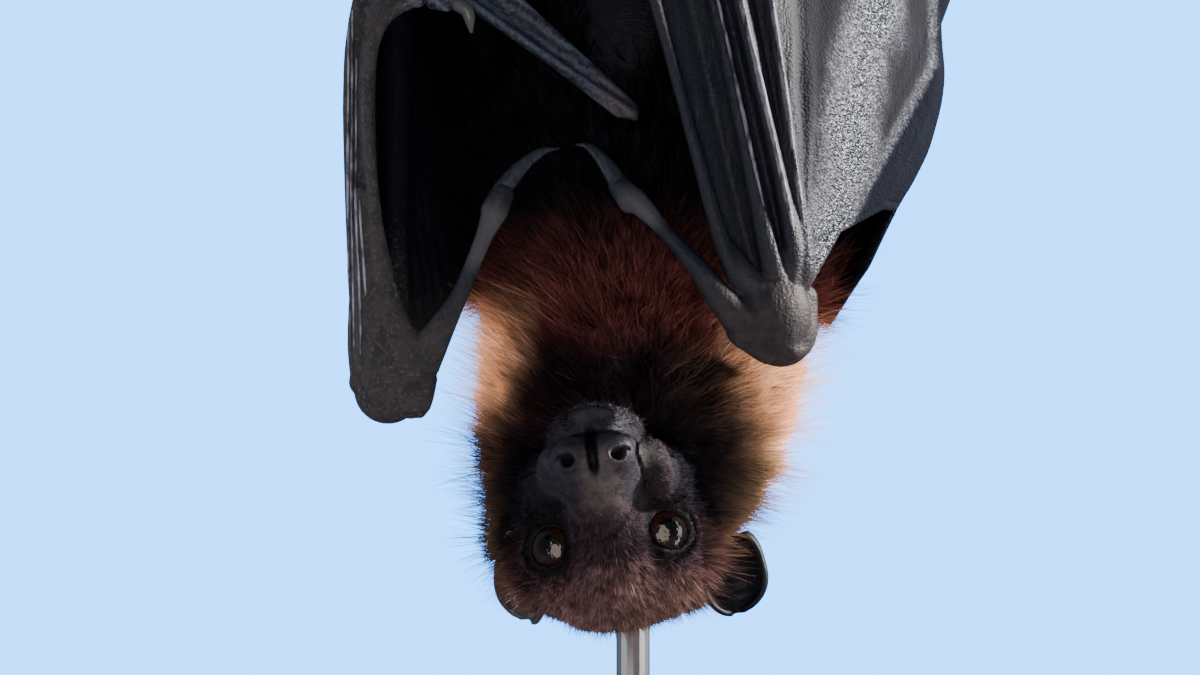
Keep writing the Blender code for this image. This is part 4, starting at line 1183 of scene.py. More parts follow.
def leather_finish():
    """Wing skin: thin black pebbled leather, creased along the arm, with a pale sheen painted on the right
    and painted shade on its cuff.
    """
    finish = Finish("wing_leather")
    spot, x, y, z = finish.place()
    cloud = finish.noise(spot, 16.0, 3.0)
    mottle = finish.noise(spot, 3.0, 4.0, 0.6)
    patchy = finish.ease(mottle, 0.35, 0.65)
    grain = finish.cells(finish.stretch(spot, (1.0, 1.0, 1.4)), 0.8)
    fine = finish.noise(spot, 0.3, 2.0)
    speck = finish.noise(spot, 0.8, 3.0, 0.6)
    lines = finish.noise(finish.stretch(spot, (1.0, 1.0, 0.09)), 0.9, 3.0, 0.55)
    folds = finish.noise(finish.stretch(spot, (1.0, 1.0, 0.12)), 3.4, 3.0, 0.5)
    glitter = finish.noise(finish.stretch(spot, (1.0, 1.0, 1.3)), 0.9, 3.0, 0.6)

    # Both wrists, the broad right membrane, its cuff by the free edge in painted bluish shade, and the
    # painted sheen down its middle
    wrist = finish.ease(z + (mottle - 0.5) * 14, 178, 160)
    wrist = wrist.most(finish.ease(x, -48, -54) * finish.ease(y, -30, -36))
    broad = finish.ease(x + y * 0.4, 12, 26) * finish.ease(z, 168, 178)
    edge = x - z.least(228.0) * 0.514 + 49.7 + (mottle - 0.5) * 2
    front = finish.ease(z, 268, 246)
    outer = finish.ease(x, 38, 42)
    cuff_painted_shade = finish.ease(edge, -0.5, 1.5) * outer * front
    streak = finish.ease(abs(x - z * 0.174 - 11.2) + (cloud - 0.5) * 12, 10.5, 1)
    streak = streak * broad * (1 - cuff_painted_shade) * front
    glint = streak.most(finish.ease(abs(edge), 2.0, 0.5) * outer * front * 0.4)

    colour = finish.mix(finish.ease(cloud, 0.35, 0.68), (0.0092, 0.0103, 0.017), (0.015, 0.0143, 0.019))
    colour = finish.mix(finish.ease(mottle, 0.5, 0.8) * 0.5, colour, (0.028, 0.024, 0.026))

    # The left hand's outer edge, speckled brown
    band = finish.ease(x, -38, -48) * finish.ease(y, -16, -26)
    colour = finish.mix(band * patchy * 0.8, colour, (0.046, 0.033, 0.029))
    colour = finish.mix(band * finish.ease(speck, 0.52, 0.66) * 0.8, colour, (0.15, 0.115, 0.095))
    # Painted shade: the cuff darkened to blue-black
    colour = finish.mix(cuff_painted_shade * 0.9, colour, (0.008, 0.0105, 0.02))
    # Painted highlight: the sheen's pale sparkles down the right membrane and along the cuff's edge
    spark = finish.ease(glitter, 0.47, 0.6)
    colour = finish.mix(glint * (0.08 + spark * 0.5), colour, (0.4, 0.41, 0.45))

    # The knob of the right wrist, then the left hand's folded finger, with a painted highlight on its pleats
    knob = finish.ease(z, 178, 168) * finish.ease(x, 16, 24)
    colour = finish.mix(knob * (patchy * 0.7 + 0.3), colour, (0.06, 0.047, 0.047))
    pleat_highlight = (x * 1.5 + z * 2.1 + mottle * 7).sine() * 0.35 + finish.ease(speck, 0.4, 0.65) * 0.4 + 0.2
    turned = finish.ease(x, -53, -47) * finish.ease(x, 1, -4)
    turned = turned * finish.ease(z, 203, 207) * finish.ease(y, -37, -41)
    # Painted highlight: pale blue stripes on the folded finger's pleats
    colour = finish.mix(turned * pleat_highlight, colour, (0.095, 0.105, 0.14))
    warm = turned * finish.ease(x - z * 0.3, -76, -68) * patchy * 0.6
    colour = finish.mix(warm, colour, (0.13, 0.075, 0.06))
    colour = finish.mix(finish.ease(lines, 0.58, 0.72) * 0.35, colour, (0.042, 0.04, 0.05))
    worn = wrist * (0.35 + finish.ease(mottle, 0.35, 0.7) * 0.45)
    colour = finish.mix(worn, colour, (0.06, 0.045, 0.042))
    thumb = finish.far(spot, (-34.0, -45.0, 181.0)).least(finish.far(spot, (1.0, -46.0, 186.0)) + 2)
    colour = finish.mix(finish.ease(thumb, 10, 5) * (0.4 + mottle * 0.4), colour, (0.1, 0.09, 0.09))

    relief = finish.bump(folds * (1 - broad * 0.7), 1.0, 0.55)
    relief = finish.bump(lines, 0.3, 0.6, relief)
    relief = finish.bump((grain + fine * 0.5) * (broad * 0.5 + 0.4 + glint * 0.4), 0.27, 1.0, relief)
    rough = 0.46 + finish.ease(cloud, 0.3, 0.7) * 0.08 + (mottle - 0.5) * 0.08
    rough = rough + broad * 0.4 - glint * 0.6 + wrist * 0.14
    # Besides the knob and the broad membrane, the metal share brightens the painted sheen and dims the cuff's
    # painted shade
    polish = (glint * 0.5).most(cuff_painted_shade * 0.8).most(knob * 0.4).most(broad * 0.45)
    return finish.done(
        finish.surface(
            base_color=colour, roughness=rough, metallic=polish, specular_ior_level=0.42, normal=relief
        )
    )


def ridge_finish():
    """The hard, shiny edges along the fingers, with highlights painted pale on them in patches."""
    finish = Finish("wing_ridge")
    spot, x, _, _ = finish.place()
    highlight_patches = finish.noise(finish.stretch(spot, (1.0, 1.0, 0.3)), 1.6, 4.0, 0.6)
    on_left = finish.ease(x, -40, -50)
    dark = finish.mix(on_left, (0.018, 0.016, 0.021), (0.05, 0.046, 0.056))
    # Painted highlight: the pale colour of the finger edges, paler on the left hand
    pale = finish.mix(on_left, (0.27, 0.23, 0.28), (0.4, 0.38, 0.44))
    colour = finish.mix(finish.ease(highlight_patches, 0.35, 0.65), dark, pale)
    relief = finish.bump(finish.noise(spot, 0.5, 3.0), 0.3, 0.8)
    rough = 0.34 + highlight_patches * 0.16
    return finish.done(
        finish.surface(base_color=colour, roughness=rough, specular_ior_level=0.5, normal=relief)
    )


def ear_finish():
    """Thin blue-black skin, paler at the left ear's tip, that lets a little light through."""
    finish = Finish("ear_skin")
    spot, x, _, z = finish.place()
    mottle = finish.noise(spot, 2.5, 3.0)
    colour = finish.mix(mottle, (0.004, 0.0042, 0.0075), (0.011, 0.011, 0.018))
    relief = finish.bump(finish.noise(spot, 0.8, 3.0), 0.2, 0.6)
    rough = 0.5 + (mottle - 0.5) * 0.2
    thin_tip = finish.ease(x, -18, -24) * finish.ease(z, 110, 105)
    colour = finish.mix(thin_tip, colour, (0.1, 0.09, 0.1))
    solid = finish.surface(base_color=colour, roughness=rough, specular_ior_level=0.4, normal=relief)
    thin = finish.ease(x, -10, -20) * finish.ease(z, 160, 140) * 0.1 + 0.02
    return finish.done(finish.blend(thin, solid, finish.through((0.45, 0.42, 0.44))))


def claw_finish():
    """Dark streaked horn, paler on the small claws of the fingers."""
    finish = Finish("claw_horn")
    spot, _, _, z = finish.place()
    streak = finish.noise(finish.stretch(spot, (1.0, 1.0, 0.25)), 0.6, 3.0)
    colour = finish.mix(finish.ease(streak, 0.3, 0.7), (0.012, 0.012, 0.016), (0.04, 0.04, 0.05))
    fingers = finish.ease(z, 214, 222) * finish.ease(z, 300, 290)
    colour = finish.mix(fingers, colour, (0.085, 0.076, 0.07))
    relief = finish.bump(streak, 0.12, 0.5)
    return finish.done(finish.surface(base_color=colour, roughness=0.36, coat_weight=0.2, normal=relief))


def eye_finish(side):
    """A near-black pupil in a dark brown iris with a darker edge, wet, and uneven enough to break glints."""
    finish = Finish(f"eye_{side}")
    spot, _, _, _ = finish.place()
    turn = math.radians(EYE_TURN - 6)
    look = AXES @ (math.cos(turn), SIDES[side] * math.sin(turn), 0)
    ahead = finish.dot(spot, EYES[side], look) / EYE_RADIUS
    out = (1 - ahead * ahead).most(0.0) ** 0.5
    fibres = finish.noise(spot, 0.5, 4.0, 0.7)
    iris = finish.mix(finish.ease(fibres, 0.3, 0.7), (0.008, 0.004, 0.0035), (0.03, 0.0145, 0.0105))
    colour = finish.mix(finish.ease(out, 0.3, 0.55), (0.002, 0.0015, 0.0015), iris)
    colour = finish.mix(finish.ease(out, 0.64, 0.74), colour, (0.006, 0.004, 0.004))
    relief = finish.bump(finish.noise(spot, 2.0, 2.0, 0.5), 0.34, 1.0)
    return finish.done(
        finish.surface(base_color=colour, roughness=0.07, specular_ior_level=0.45, normal=relief)
    )


def bark_finish():
    """Grey-brown cracked bark, with pale ringed wood at the two sawn ends."""
    finish = Finish("bark")
    spot, x, y, z = finish.place()
    along = finish.stretch(spot, (0.35, 1.0, 1.0))
    plates = finish.cells(along, 4.2, "DISTANCE_TO_EDGE")
    grit = finish.noise(spot, 0.9, 5.0, 0.65)
    cloud = finish.noise(spot, 12.0, 3.0)
    colour = finish.mix(finish.ease(cloud, 0.3, 0.7), (0.1, 0.07, 0.048), (0.23, 0.175, 0.125))
    colour = finish.mix(finish.ease(plates, 0.12, 0.0) * 0.6, colour, (0.06, 0.042, 0.03))
    colour = finish.mix(finish.ease(grit, 0.55, 0.8) * 0.4, colour, (0.33, 0.28, 0.22))
    end = finish.ease(abs(x), 91.0, 91.6)
    above = z - PERCH_HEIGHT
    rings = (((y * y + above * above) ** 0.5) * 5.0 + cloud * 3).sine() * 0.5 + 0.5
    wood = finish.mix(rings, (0.42, 0.29, 0.17), (0.6, 0.45, 0.29))
    colour = finish.mix(end, colour, wood)
    relief = finish.bump(finish.ease(plates, 0.0, 0.2) + grit * 0.7, 0.7, 0.8)
    return finish.done(
        finish.surface(base_color=colour, roughness=0.86, specular_ior_level=0.3, normal=relief)
    )


def wood_finish():
    """Dark waxed timber of the stand."""
    finish = Finish("stand_timber")
    spot, _, y, z = finish.place()
    grain = finish.stretch(spot, (0.06, 1.0, 1.0))
    bend = finish.noise(grain, 14.0, 2.0)
    bands = ((y + z * 0.7) * 0.55 + bend * 14).sine() * 0.5 + 0.5
    pores = finish.noise(finish.stretch(spot, (0.05, 1.0, 1.0)), 0.7, 4.0, 0.6)
    colour = finish.mix(bands, (0.062, 0.03, 0.017), (0.13, 0.066, 0.036))
    colour = finish.mix(finish.ease(pores, 0.55, 0.75) * 0.5, colour, (0.03, 0.014, 0.009))
    relief = finish.bump(pores + bands * 0.3, 0.15, 0.4)
    rough = 0.36 + pores * 0.14
    return finish.done(finish.surface(base_color=colour, roughness=rough, coat_weight=0.15, normal=relief))


def metal_finish():
    """Brushed steel of the rod."""
    finish = Finish("stand_steel")
    spot, _, _, _ = finish.place()
    brush = finish.noise(finish.stretch(spot, (1.0, 1.0, 12.0)), 1.2, 4.0, 0.6)
    colour = finish.mix(brush, (0.3, 0.295, 0.285), (0.46, 0.45, 0.44))
    relief = finish.bump(brush, 0.05, 0.4)
    return finish.done(
        finish.surface(base_color=colour, roughness=0.27 + brush * 0.14, metallic=1.0, normal=relief)
    )


# ---- the coat

# Length, width, root lift and tip lift in degrees, and tufts for each mm2, on the arms and on the legs
ARM_COAT = (6.5, 0.42, 34, 14, 3.6)
LEG_COAT = (4.5, 0.42, 24, 8, 2.6)
BLADE_POINTS, BLADE_FACES, BLADE_CORNERS = 7, 3, 11
BLADE_HALF_WIDTHS = (0.38, 0.5, 0.36)
ROOT_DEPTH, WALL_NEAR = 0.35, 1.2
STRAYS = 0.16  # the share of tufts that stand clear of their neighbours
MOST_TUFTS = 39500  # in one piece, so that it stays under 200,000 triangles
COAT_SEED = 100


def scatter(points, triangles, weights, count, rng):
    """count places on a mesh of triangles: (positions, normals)."""
    corners = points[triangles]
    normals = np.cross(corners[:, 1] - corners[:, 0], corners[:, 2] - corners[:, 0])
    smooth = np.zeros_like(points)
    for i in range(3):
        np.add.at(smooth, triangles[:, i], normals)
    smooth = unit(smooth)
    chosen = rng.choice(len(triangles), count, p=weights / weights.sum())
    a, b = rng.random(count) ** 0.5, rng.random(count)
    share = np.stack([1 - a, a * (1 - b), a * b], axis=1)[..., None]
    return (corners[chosen] * share).sum(1), unit((smooth[triangles[chosen]] * share).sum(1))


def near_line(points, line):
    """Distance of points to a line of points, and the line's direction there."""
    best, way = np.full(len(points), 1e9), np.zeros_like(points)
    line = np.array(line, float)
    for a, b in zip(line, line[1:], strict=False):
        step = b - a
        share = np.clip((points - a) @ step / step.dot(step), 0, 1)[:, None]
        gap = np.linalg.norm(points - a - share * step, axis=1)
        closer = gap < best
        best[closer], way[closer] = gap[closer], unit(step)
    return best, way


def toward(old, new, share):
    """Several values, each moved that share of the way to its new one."""
    return [a + (b - a) * share for a, b in zip(old, new, strict=True)]


def coat_at(points):
    """The coat at each place: length, width, root and tip lift in degrees, tufts for each mm2, and lie."""
    f, r, c = to_head(points).T
    z = points[:, 2]
    neck = (points - NECK_POINT) @ NECK_NORMAL
    head = 1 - ease(neck, -6, 8)
    behind = ease(points[:, 1], -2, 12)
    length = np.interp(z, [140, 165, 185, 215, 260, 330], [12.5, 12, 9.5, 8, 7, 6])
    width = np.interp(z, [140, 170, 210, 260], [0.34, 0.36, 0.44, 0.6])
    lift = np.interp(z, [140, 168, 195, 230], [62, 58, 40, 28])
    tip = np.interp(z, [140, 168, 195, 230], [42, 36, 18, 8])
    dense = np.interp(z, [140, 175, 215, 260], [11.5, 10, 6.6, 3.4]) * (1 - 0.35 * behind)
    back = ease(f, 11, -13)
    sides = ease(np.abs(r), 8, 20)
    full = 5.8 + 2.8 * sides + 1.5 * ease(c, -4, -16) - 1.9 * ease(c, 4, 12)
    brow = 2.2 * ease(c, -8, 3) * ease(f, 20, 6)
    fur = 1.2 + (full - 1.2) * back**1.1 + brow * (1 - back)
    on_face = (fur, 0.19 + 0.13 * back, 20 + 44 * back, 6 + 34 * back, 18 - 4.5 * back)
    length, width, lift, tip, dense = toward((length, width, lift, tip, dense), on_face, head)
    chin = ease(c, -17, -20.5) * ease(f, 4, 10) * head
    flap = ease(r, 9, 10.5) * ease(f, 3, 8) * ease(r, 16, 14) * head
    length = length + 1.1 * chin + 0.3 * flap
    length = length * (1 - 0.5 * ease(r, -8, -14) * ease(c, 2, 7) * head)
    lift = lift + 16 * chin + 4 * flap
    dense = dense * (1 - 0.55 * chin)
    way = np.zeros_like(points) + (0, 0.12, 1)
    way[:, 0] += 0.006 * points[:, 0]
    out = r[:, None] * AXES[:, 1] * 0.02 + c[:, None] * AXES[:, 2] * 0.02
    way = unit(way) + (unit(-AXES[:, 0] + out) - unit(way)) * head[:, None]
    for side in SIDES:
        shoulder, elbow = upper_arm(side)
        gap, arm_way = near_line(points, [shoulder * 0.75 + elbow * 0.25, elbow])
        arm = 1 - ease(gap, 7, 11)
        hip, knee, heel = flip((HIP, KNEE, ANKLE), side)
        gap, leg_way = near_line(points, [np.array(hip) * 0.4 + np.array(knee) * 0.6, knee, heel])
        leg = (1 - ease(gap, 8, 12)) * ease(z, 318, 330)
        for share, its_way, its_coat in ((arm, arm_way, ARM_COAT), (leg, leg_way, LEG_COAT)):
            length, width, lift, tip, dense = toward((length, width, lift, tip, dense), its_coat, share)
            way = way + (its_way - way) * share[:, None]
    for side in SIDES:
        gap = np.linalg.norm(points - EYES[side], axis=1)
        dense = dense * ease(gap, 6.1, 6.7)
        length = length * (0.4 + 0.6 * ease(gap, 6.3, 11))
    dense = dense * (1 - 0.5 * ease(f, 16, 22)) * (1 - ease(f, 25, 29))
    dense = dense * (1 - ease(z, 384, 388))
    return length, width, lift, tip, dense, way


def tufts(name, points, normals, coat, wall, rng, patch, finish, slot):
    """One piece of coat: a thin bent blade for each root, drawn together with its neighbours at the tip."""
    length, width, lift, tip, _, way = coat
    count = len(points)
    lie = unit(way - normals * (way * normals).sum(1, keepdims=True))
    side = np.cross(normals, lie)
    seeds = points[rng.choice(count, max(count // 20, 1), replace=False)]
    near = KDTree(len(seeds))
    for i, seed in enumerate(seeds):
        near.insert(seed, i)
    near.balance()
    clump = np.array([near.find(point)[1] for point in points])
    _, clump = np.unique(clump, return_inverse=True)
    sway, rise, lock = rng.normal(0, 1, (3, clump.max() + 1))
    soft = ease(length, 1.5, 6)
    swirl = (0.5 * ripple(points, 8, 77) + 0.32 * sway[clump]) * soft
    turn = (rng.normal(0, 0.27, count) + swirl)[:, None]
    lie, side = lie * np.cos(turn) + side * np.sin(turn), side * np.cos(turn) - lie * np.sin(turn)
    stray = rng.random(count) < STRAYS
    longer = np.where(stray, 1.35 + 0.3 * ease(length, 5, 10), 1)
    length = length * np.clip(rng.normal(1, 0.16, count), 0.5, 1.4) * longer
    width = width * rng.uniform(0.7, 1.2, count) * np.where(stray, 0.4, 1)
    lift = lift + rng.normal(0, 6, count) + 6 * ripple(points, 6, 78) + 8 * rise[clump] * soft
    lift = np.radians(lift + 10 * stray)
    tip = np.radians(tip + rng.normal(0, 8, count) + 14 * stray)
    line = [points - normals * ROOT_DEPTH]
    for share in (0.15, 0.5, 0.85):
        angle = (lift + (tip - lift) * share)[:, None]
        line.append(line[-1] + (lie * np.cos(angle) + normals * np.sin(angle)) * length[:, None] / 3)
    line = np.stack(line, axis=1)
    many = np.bincount(clump)
    meet = np.stack([np.bincount(clump, line[:, 3, i]) / many for i in range(3)], axis=1)
    pull = (rng.uniform(0.35, 0.85, count) * ~stray)[:, None]
    line[:, 3] += (meet[clump] - line[:, 3]) * pull
    line[:, 2] += (meet[clump] - line[:, 3]) * pull * 0.25
    keep = np.ones(count, bool)
    clear, steps = line[:, 0] + normals * 0.9, line[:, 3] - line[:, 0]
    reach = np.linalg.norm(steps, axis=1)
    for i in range(count):
        hit = wall.ray_cast(Vector(clear[i]), Vector(steps[i]), reach[i])[3]
        if hit is not None:
            if hit < WALL_NEAR:
                keep[i] = False
            else:
                line[i, 1:] = line[i, 0] + (line[i, 1:] - line[i, 0]) * 0.8 * hit / reach[i]
    line, side, normals, width, points = (v[keep] for v in (line, side, normals, width, points))
    count = len(points)
    roll = rng.uniform(-1.15, 1.15, count)[:, None]
    across = side * np.cos(roll) + normals * np.sin(roll)
    half = across[:, None, :] * (width[:, None] * np.array(BLADE_HALF_WIDTHS))[..., None]
    corners = np.empty((count, BLADE_POINTS, 3))
    corners[:, 0:6:2] = line[:, :3] - half
    corners[:, 1:6:2] = line[:, :3] + half
    corners[:, 6] = line[:, 3]
    each = np.arange(count)[:, None]
    loops = (each * BLADE_POINTS + np.array((0, 1, 3, 2, 2, 3, 5, 4, 4, 5, 6))).reshape(-1)
    starts = (each * BLADE_CORNERS + np.array((0, 4, 8))).reshape(-1)
    mesh = bpy.data.meshes.new(name)
    mesh.vertices.add(count * BLADE_POINTS)
    mesh.vertices.foreach_set("co", (corners * MM).astype(np.float32).ravel())
    mesh.loops.add(len(loops))
    mesh.loops.foreach_set("vertex_index", loops.astype(np.int32))
    mesh.polygons.add(count * BLADE_FACES)
    mesh.polygons.foreach_set("loop_start", starts.astype(np.int32))
    mesh.update(calc_edges=True)
    mesh.shade_smooth()
    along = mesh.attributes.new("along", "FLOAT", "POINT")
    along.data.foreach_set("value", np.tile(np.array((0, 0, 0.33, 0.33, 0.66, 0.66, 1), np.float32), count))
    shade = mesh.attributes.new("shade", "FLOAT", "POINT")
    tone = np.clip(0.5 + 0.26 * lock[clump[keep]], 0, 1)
    tone = 0.5 * rng.random(count) ** 2 + 0.5 * tone
    shade.data.foreach_set("value", np.repeat(tone, BLADE_POINTS).astype(np.float32))
    u, v = patch(points)
    u, v = ((w - w.min()) / max(np.ptp(w), 1e-6) * 0.99 + 0.005 for w in (u, v))
    spots = np.empty((count, BLADE_POINTS, 2))
    offset = np.array(
        ((-0.5, -0.5), (0.5, -0.5), (-0.5, -0.17), (0.5, -0.17), (-0.5, 0.17), (0.5, 0.17), (0, 0.5))
    )
    spots[..., 0], spots[..., 1] = u[:, None], v[:, None]
    spots += offset * 0.003
    layer = mesh.uv_layers.new(name="OFBake")
    layer.data.foreach_set("uv", spots.reshape(-1, 2)[loops].astype(np.float32).ravel())
    piece = object_of(name, mesh, finish)
    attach(piece, "root")
    return count


def round_body(points):
    """Unrolls the coat about the trunk's upright axis."""
    return np.arctan2(points[:, 0], -(points[:, 1] - 5)), points[:, 2] / 30


def round_head(points):
    """Unrolls the coat about the head's own crown."""
    f, r, c = to_head(points).T
    return np.arctan2(r, f + 12), np.arctan2(c + 4, np.hypot(r, f + 12))


def round_limb(points):
    """Unrolls the coat of the arms or legs, the two sides apart."""
    way = np.sign(points[:, 0])
    return np.arctan2(points[:, 1] - 12, points[:, 0] * way - 25) + way * 4, points[:, 2] / 20


def zones(f, neck, points, limb):
    """Each piece of coat: its name, the places it covers, how it unrolls for baking, and its slot."""
    z, front = points[:, 2], points[:, 1] < 5
    head, collar, trunk_only = (neck < 0) & ~limb, (neck >= 0) & ~limb, ~limb
    return (
        ("coat_muzzle", head & (f > 7), round_head, "dark_coat"),
        ("coat_face", head & (f > -4) & (f <= 7), round_head, "dark_coat"),
        ("coat_crown", head & (f <= -4) & (f > -19), round_head, "dark_coat"),
        ("coat_nape", head & (f <= -19), round_head, "mantle_coat"),
        ("coat_mantle_front", collar & (z < 172) & front, round_body, "mantle_coat"),
        ("coat_mantle_back", collar & (z < 180) & ~front, round_body, "mantle_coat"),
        ("coat_chest", trunk_only & (z >= 172) & (z < 225) & front, round_body, "dark_coat"),
        ("coat_belly", trunk_only & (z >= 225) & front, round_body, "dark_coat"),
        ("coat_back", trunk_only & (z >= 180) & ~front, round_body, "dark_coat"),
        ("coat_limbs", limb, round_limb, "dark_coat"),
    )


def triangles_of(pieces):
    """(points, triangles) of a mesh given as points and faces."""
    points, faces = pieces
    found = [(face[0], face[i], face[i + 1]) for face in faces for i in range(1, len(face) - 1)]
    return np.asarray(points), np.array(found)


def grow_coat(body, wall, finish):
    """The whole coat, in ten pieces. Tufts that would pass through the wall are shortened or left out."""
    points, triangles = triangles_of(body)
    corners = points[triangles]
    across = np.cross(corners[:, 1] - corners[:, 0], corners[:, 2] - corners[:, 0])
    area = np.linalg.norm(across, axis=1) / 2
    middle = corners.mean(1)
    dense = coat_at(middle)[4]
    f = to_head(middle)[:, 0]
    neck = (middle - NECK_POINT) @ NECK_NORMAL
    limb = np.zeros(len(middle), bool)
    for side in SIDES:
        shoulder, elbow = upper_arm(side)
        limb |= near_line(middle, [shoulder * 0.7 + elbow * 0.3, elbow])[0] < 9
    limb |= middle[:, 2] > 322
    total = 0
    for number, (name, covered, patch, slot) in enumerate(zones(f, neck, middle, limb)):
        weights = area * dense * covered
        count = min(int(weights.sum() * (1)), MOST_TUFTS)
        rng = np.random.default_rng(COAT_SEED + number)
        roots, normals = scatter(points, triangles, weights, count, rng)
        made = tufts(name, roots, normals, coat_at(roots), wall, rng, patch, finish, slot)
        print(f"{name}: {weights.sum():.0f} wanted, {made} tufts")
        total += made
    print(f"coat: {total} tufts")


# ---- eyes, claws, branch, stand, floor and lights


def build_skin(*finishes):
    """Skin, wings, ears and feet in one piece. Returns the furred body, the rest, and the toes' claws."""
    hide, leather, ear_skin, ridge = range(len(finishes))
    body = body_surface()
    claws, groups = {}, [(body, hide)]
    for side in SIDES:
        groups.append((ear(side), ear_skin))
        palm = hand(side)
        groups += [
            (palm, leather),
            (ridges(side, palm), ridge),
            (fold(side), leather),
            (tube(forearm_path(side), ARM_RADIUS, sides=20, rings=50), leather),
            (arm_membrane(side), leather),
            (back_membrane(side), leather),
            (elbow_membrane(side), leather),
        ]
        flesh, claws[side] = foot(side)
        groups.append((flesh, ear_skin))
    mesh = mesh_of(*joined(*(pieces for pieces, _ in groups)), "skin")
    skin = object_of("skin", mesh, *finishes)
    mesh.polygons.foreach_set("material_index", [finish for (_, faces), finish in groups for _ in faces])
    flesh_nodes = [
        name
        for name in frame["nodes"]
        if not name.startswith(("eye_", "stand_", "perch")) and "claw" not in name
    ]
    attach(skin, "root")
    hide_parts(*flesh_nodes)
    print(f"skin: {sum(len(p.vertices) - 2 for p in mesh.polygons)} triangles")
    return body, joined(*(pieces for pieces, _ in groups[1:])), claws


def build_eyes():
    """Two eyeballs, each with its own finish."""
    for side in SIDES:
        globe = ball(EYES[side], (EYE_RADIUS,) * 3)
        eye = object_of(f"eyeball_{side}", mesh_of(*globe, "eyeball"), eye_finish(side))
        rounder = eye.modifiers.new("round", "SUBSURF")
        rounder.levels = rounder.render_levels = 1
        apply_modifiers(eye)
        eye.data.shade_smooth()
        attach(eye, "root")
        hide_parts(f"eye_{side}")


def build_claws(claws, horn):
    """The claws of each side's thumb, finger and toes as one piece."""
    for side in SIDES:
        thumb = tube(THUMB_CLAW[side], [2.0, 1.9, 1.6, 1.25, 0.85, 0.35], sides=16, rings=30, flat=0.75)
        nail = tube(FINGER_CLAW[side], [1.5, 1.5, 1.2, 0.4], sides=12, rings=20)
        piece = object_of(f"claws_{side}", mesh_of(*joined(thumb, nail, claws[side]), "claws"), horn)
        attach(piece, "root")
        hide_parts(f"thumb_claw_{side}", f"finger_claw_{side}")


def build_branch(bark):
    """The cut branch with its stub, and rough, split bark."""
    high = PERCH_HEIGHT
    path = (
        (-92, 4, 403), (-60, 1, 406.5), (-36, 0, high), (0, 0, high),
        (36, 0, high), (62, -1, 409), (92, -4, 413),
    )  # fmt: skip
    stub = ((0, 0, high), (0, 30, 406), (0, 56, 401), (0, 77, 399))
    made = []
    for line, radii, sides, rings in (
        (path, (9.0, 9.3, 9.5, 9.5, 9.5, 9.2, 8.4), 64, 150),
        (stub, (8.6, 7.6, 7.2, 7.0), 48, 60),
    ):
        centre, sizes = spline(line, rings), spread(radii, rings)
        ways = unit(np.gradient(centre, axis=0))
        angles = 2 * math.pi * np.arange(sides) / sides
        across = unit(np.cross(ways, (0.0, 0.3, 1.0)))
        other = np.cross(ways, across)
        cosines, sines = np.cos(angles)[None, :, None], np.sin(angles)[None, :, None]
        spokes = cosines * across[:, None, :] + sines * other[:, None, :]
        grid = centre[:, None, :] + sizes[:, None, None] * spokes
        flat = grid.reshape(-1, 3)
        rough = ripple(flat * (0.4, 1, 1), 5, 41) * 0.32 + ripple(flat, 14, 43) * 0.35 - 0.55
        outwards = unit((grid - centre[:, None, :]).reshape(-1, 3))
        made.append((flat + outwards * rough[:, None], capped_faces(rings, sides)))
    piece = object_of("branch", mesh_of(*joined(*made), "branch"), bark)
    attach(piece, "root")
    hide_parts("perch")


# Each lamp: name, place, what it aims at, its two sizes, watts, colour, and which pieces it lights
LAMPS = (
    ("rim_right", (0.85, 0.8, 0.95), (0, 0, 0.18), (0.3, 0.3), 190, (1.0, 0.93, 0.82), "coat"),
    ("rim_left", (-0.75, 0.9, 0.7), (0, 0, 0.16), (0.3, 0.3), 80, (1.0, 0.86, 0.78), "coat"),
    ("wing_right", (0.95, 0.0, 0.57), (0.04, 0, 0.22), (0.1, 0.1), 36, (1.0, 0.98, 0.95), "but_eyes"),
    ("front_soft", (-0.2, -1.1, 0.06), (0, 0, 0.14), (0.42, 0.42), 3.1, (1.0, 0.93, 0.88), "but_eyes"),
    ("left_soft", (-1.0, -0.1, 0.35), (0, 0, 0.16), (0.6, 0.6), 2.6, (0.86, 0.92, 1.0), "but_eyes"),
    ("glint_front", (-0.12, -1.05, 0.03), (0, 0, 0.12), (1.0, 1.2), 14, (1.0, 0.84, 0.68), "eyes"),
    ("glint_right", (1.0, -0.25, 0.15), (0, 0, 0.12), (0.25, 2.4), 9, (0.95, 0.95, 1.0), "eyes"),
)


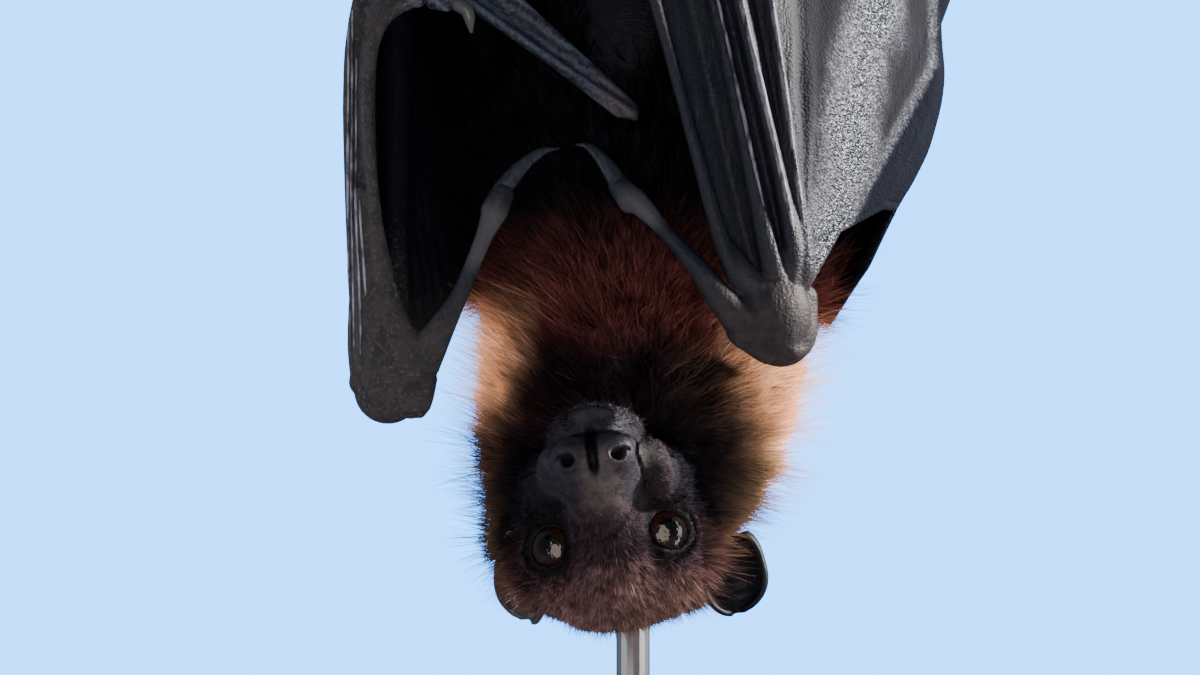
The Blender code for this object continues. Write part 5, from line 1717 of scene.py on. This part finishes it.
def build_room():
    """A round floor, a blue backdrop that only the camera sees, a pale blue studio, and the lamps."""
    angles = np.linspace(0, 2 * math.pi, 64, endpoint=False)
    corners = [(6000 * math.cos(a), 6000 * math.sin(a), 0) for a in angles]
    floor = object_of("floor", mesh_of(corners, [tuple(range(len(corners)))]))
    finish = Finish("floor_paint")
    spot, _, _, _ = finish.place()
    tone = finish.mix(finish.noise(spot, 300.0, 2.0), (0.66, 0.68, 0.7), (0.72, 0.73, 0.74))
    floor.data.materials.append(finish.done(finish.surface(base_color=tone, roughness=0.75)))
    backdrop = object_of("backdrop", mesh_of(*ball(np.zeros(3), (6500, 6500, 6500))))
    finish = Finish("pale_blue_backdrop")
    glow = finish.node("ShaderNodeEmission", None, {"Color": (0.05, 0.4, 1.2), "Strength": 5.7})
    backdrop.data.materials.append(finish.done(glow))
    backdrop.visible_diffuse = backdrop.visible_glossy = backdrop.visible_transmission = False
    backdrop.visible_shadow = floor.visible_glossy = False
    world = bpy.data.worlds.new("studio")
    bpy.context.scene.world = world
    world.use_nodes = True
    sky = world.node_tree.nodes["Background"]
    sky.inputs["Color"].default_value = (0.5, 0.66, 1.0, 1)
    sky.inputs["Strength"].default_value = 0.24
    lit = {name: bpy.data.collections.new(f"lit_{name}") for name in ("coat", "eyes", "but_eyes")}
    for piece in bpy.data.objects:
        if piece.name.startswith("coat_") and piece.name not in ("coat_muzzle", "coat_face"):
            lit["coat"].objects.link(piece)
        if piece.name.startswith("eyeball_"):
            lit["eyes"].objects.link(piece)
            lit["but_eyes"].objects.link(piece)
    for member in lit["but_eyes"].collection_objects:
        member.light_linking.link_state = "EXCLUDE"
    for name, place, aim, size, power, colour, pieces in LAMPS:
        light = bpy.data.lights.new(name, "AREA")
        light.shape, light.energy, light.color = "ELLIPSE", power, colour
        light.size, light.size_y = size
        lamp = bpy.data.objects.new(name, light)
        bpy.context.scene.collection.objects.link(lamp)
        lamp.location = place
        lamp.rotation_euler = (Vector(aim) - Vector(place)).to_track_quat("-Z", "Y").to_euler()
        lamp.light_linking.receiver_collection = lit[pieces]


def build_camera():
    """Looks up at the head from a little below it."""
    aim, distance, below = Vector((-7.9, 0, 166)) * MM, 0.9, math.radians(9.5)
    lens = bpy.data.cameras.new("camera")
    lens.lens, lens.sensor_width = 120, 36
    lens.clip_start = 0.01
    camera = bpy.data.objects.new("camera", lens)
    bpy.context.scene.collection.objects.link(camera)
    camera.location = aim + Vector((0, -math.cos(below), -math.sin(below))) * distance
    camera.rotation_euler = (aim - camera.location).to_track_quat("-Z", "Y").to_euler()
    bpy.context.scene.camera = camera


def main():
    body, wings, claws = build_skin(hide_finish(), leather_finish(), ear_finish(), ridge_finish())
    build_eyes()
    build_claws(claws, claw_finish())
    build_branch(bark_finish())
    walls = joined(wings, *(ball(EYES[side], (EYE_RADIUS + 0.2,) * 3) for side in SIDES))
    wall_points, wall_triangles = triangles_of(walls)
    wall = BVHTree.FromPolygons(wall_points.tolist(), wall_triangles.tolist(), all_triangles=True)
    grow_coat(body, wall, coat_finish())
    for node, finish in (("stand_base", wood_finish()), ("stand_rod", metal_finish())):
        frame["nodes"][node].data.materials.clear()
        frame["nodes"][node].data.materials.append(finish)
    build_room()
    build_camera()


main()
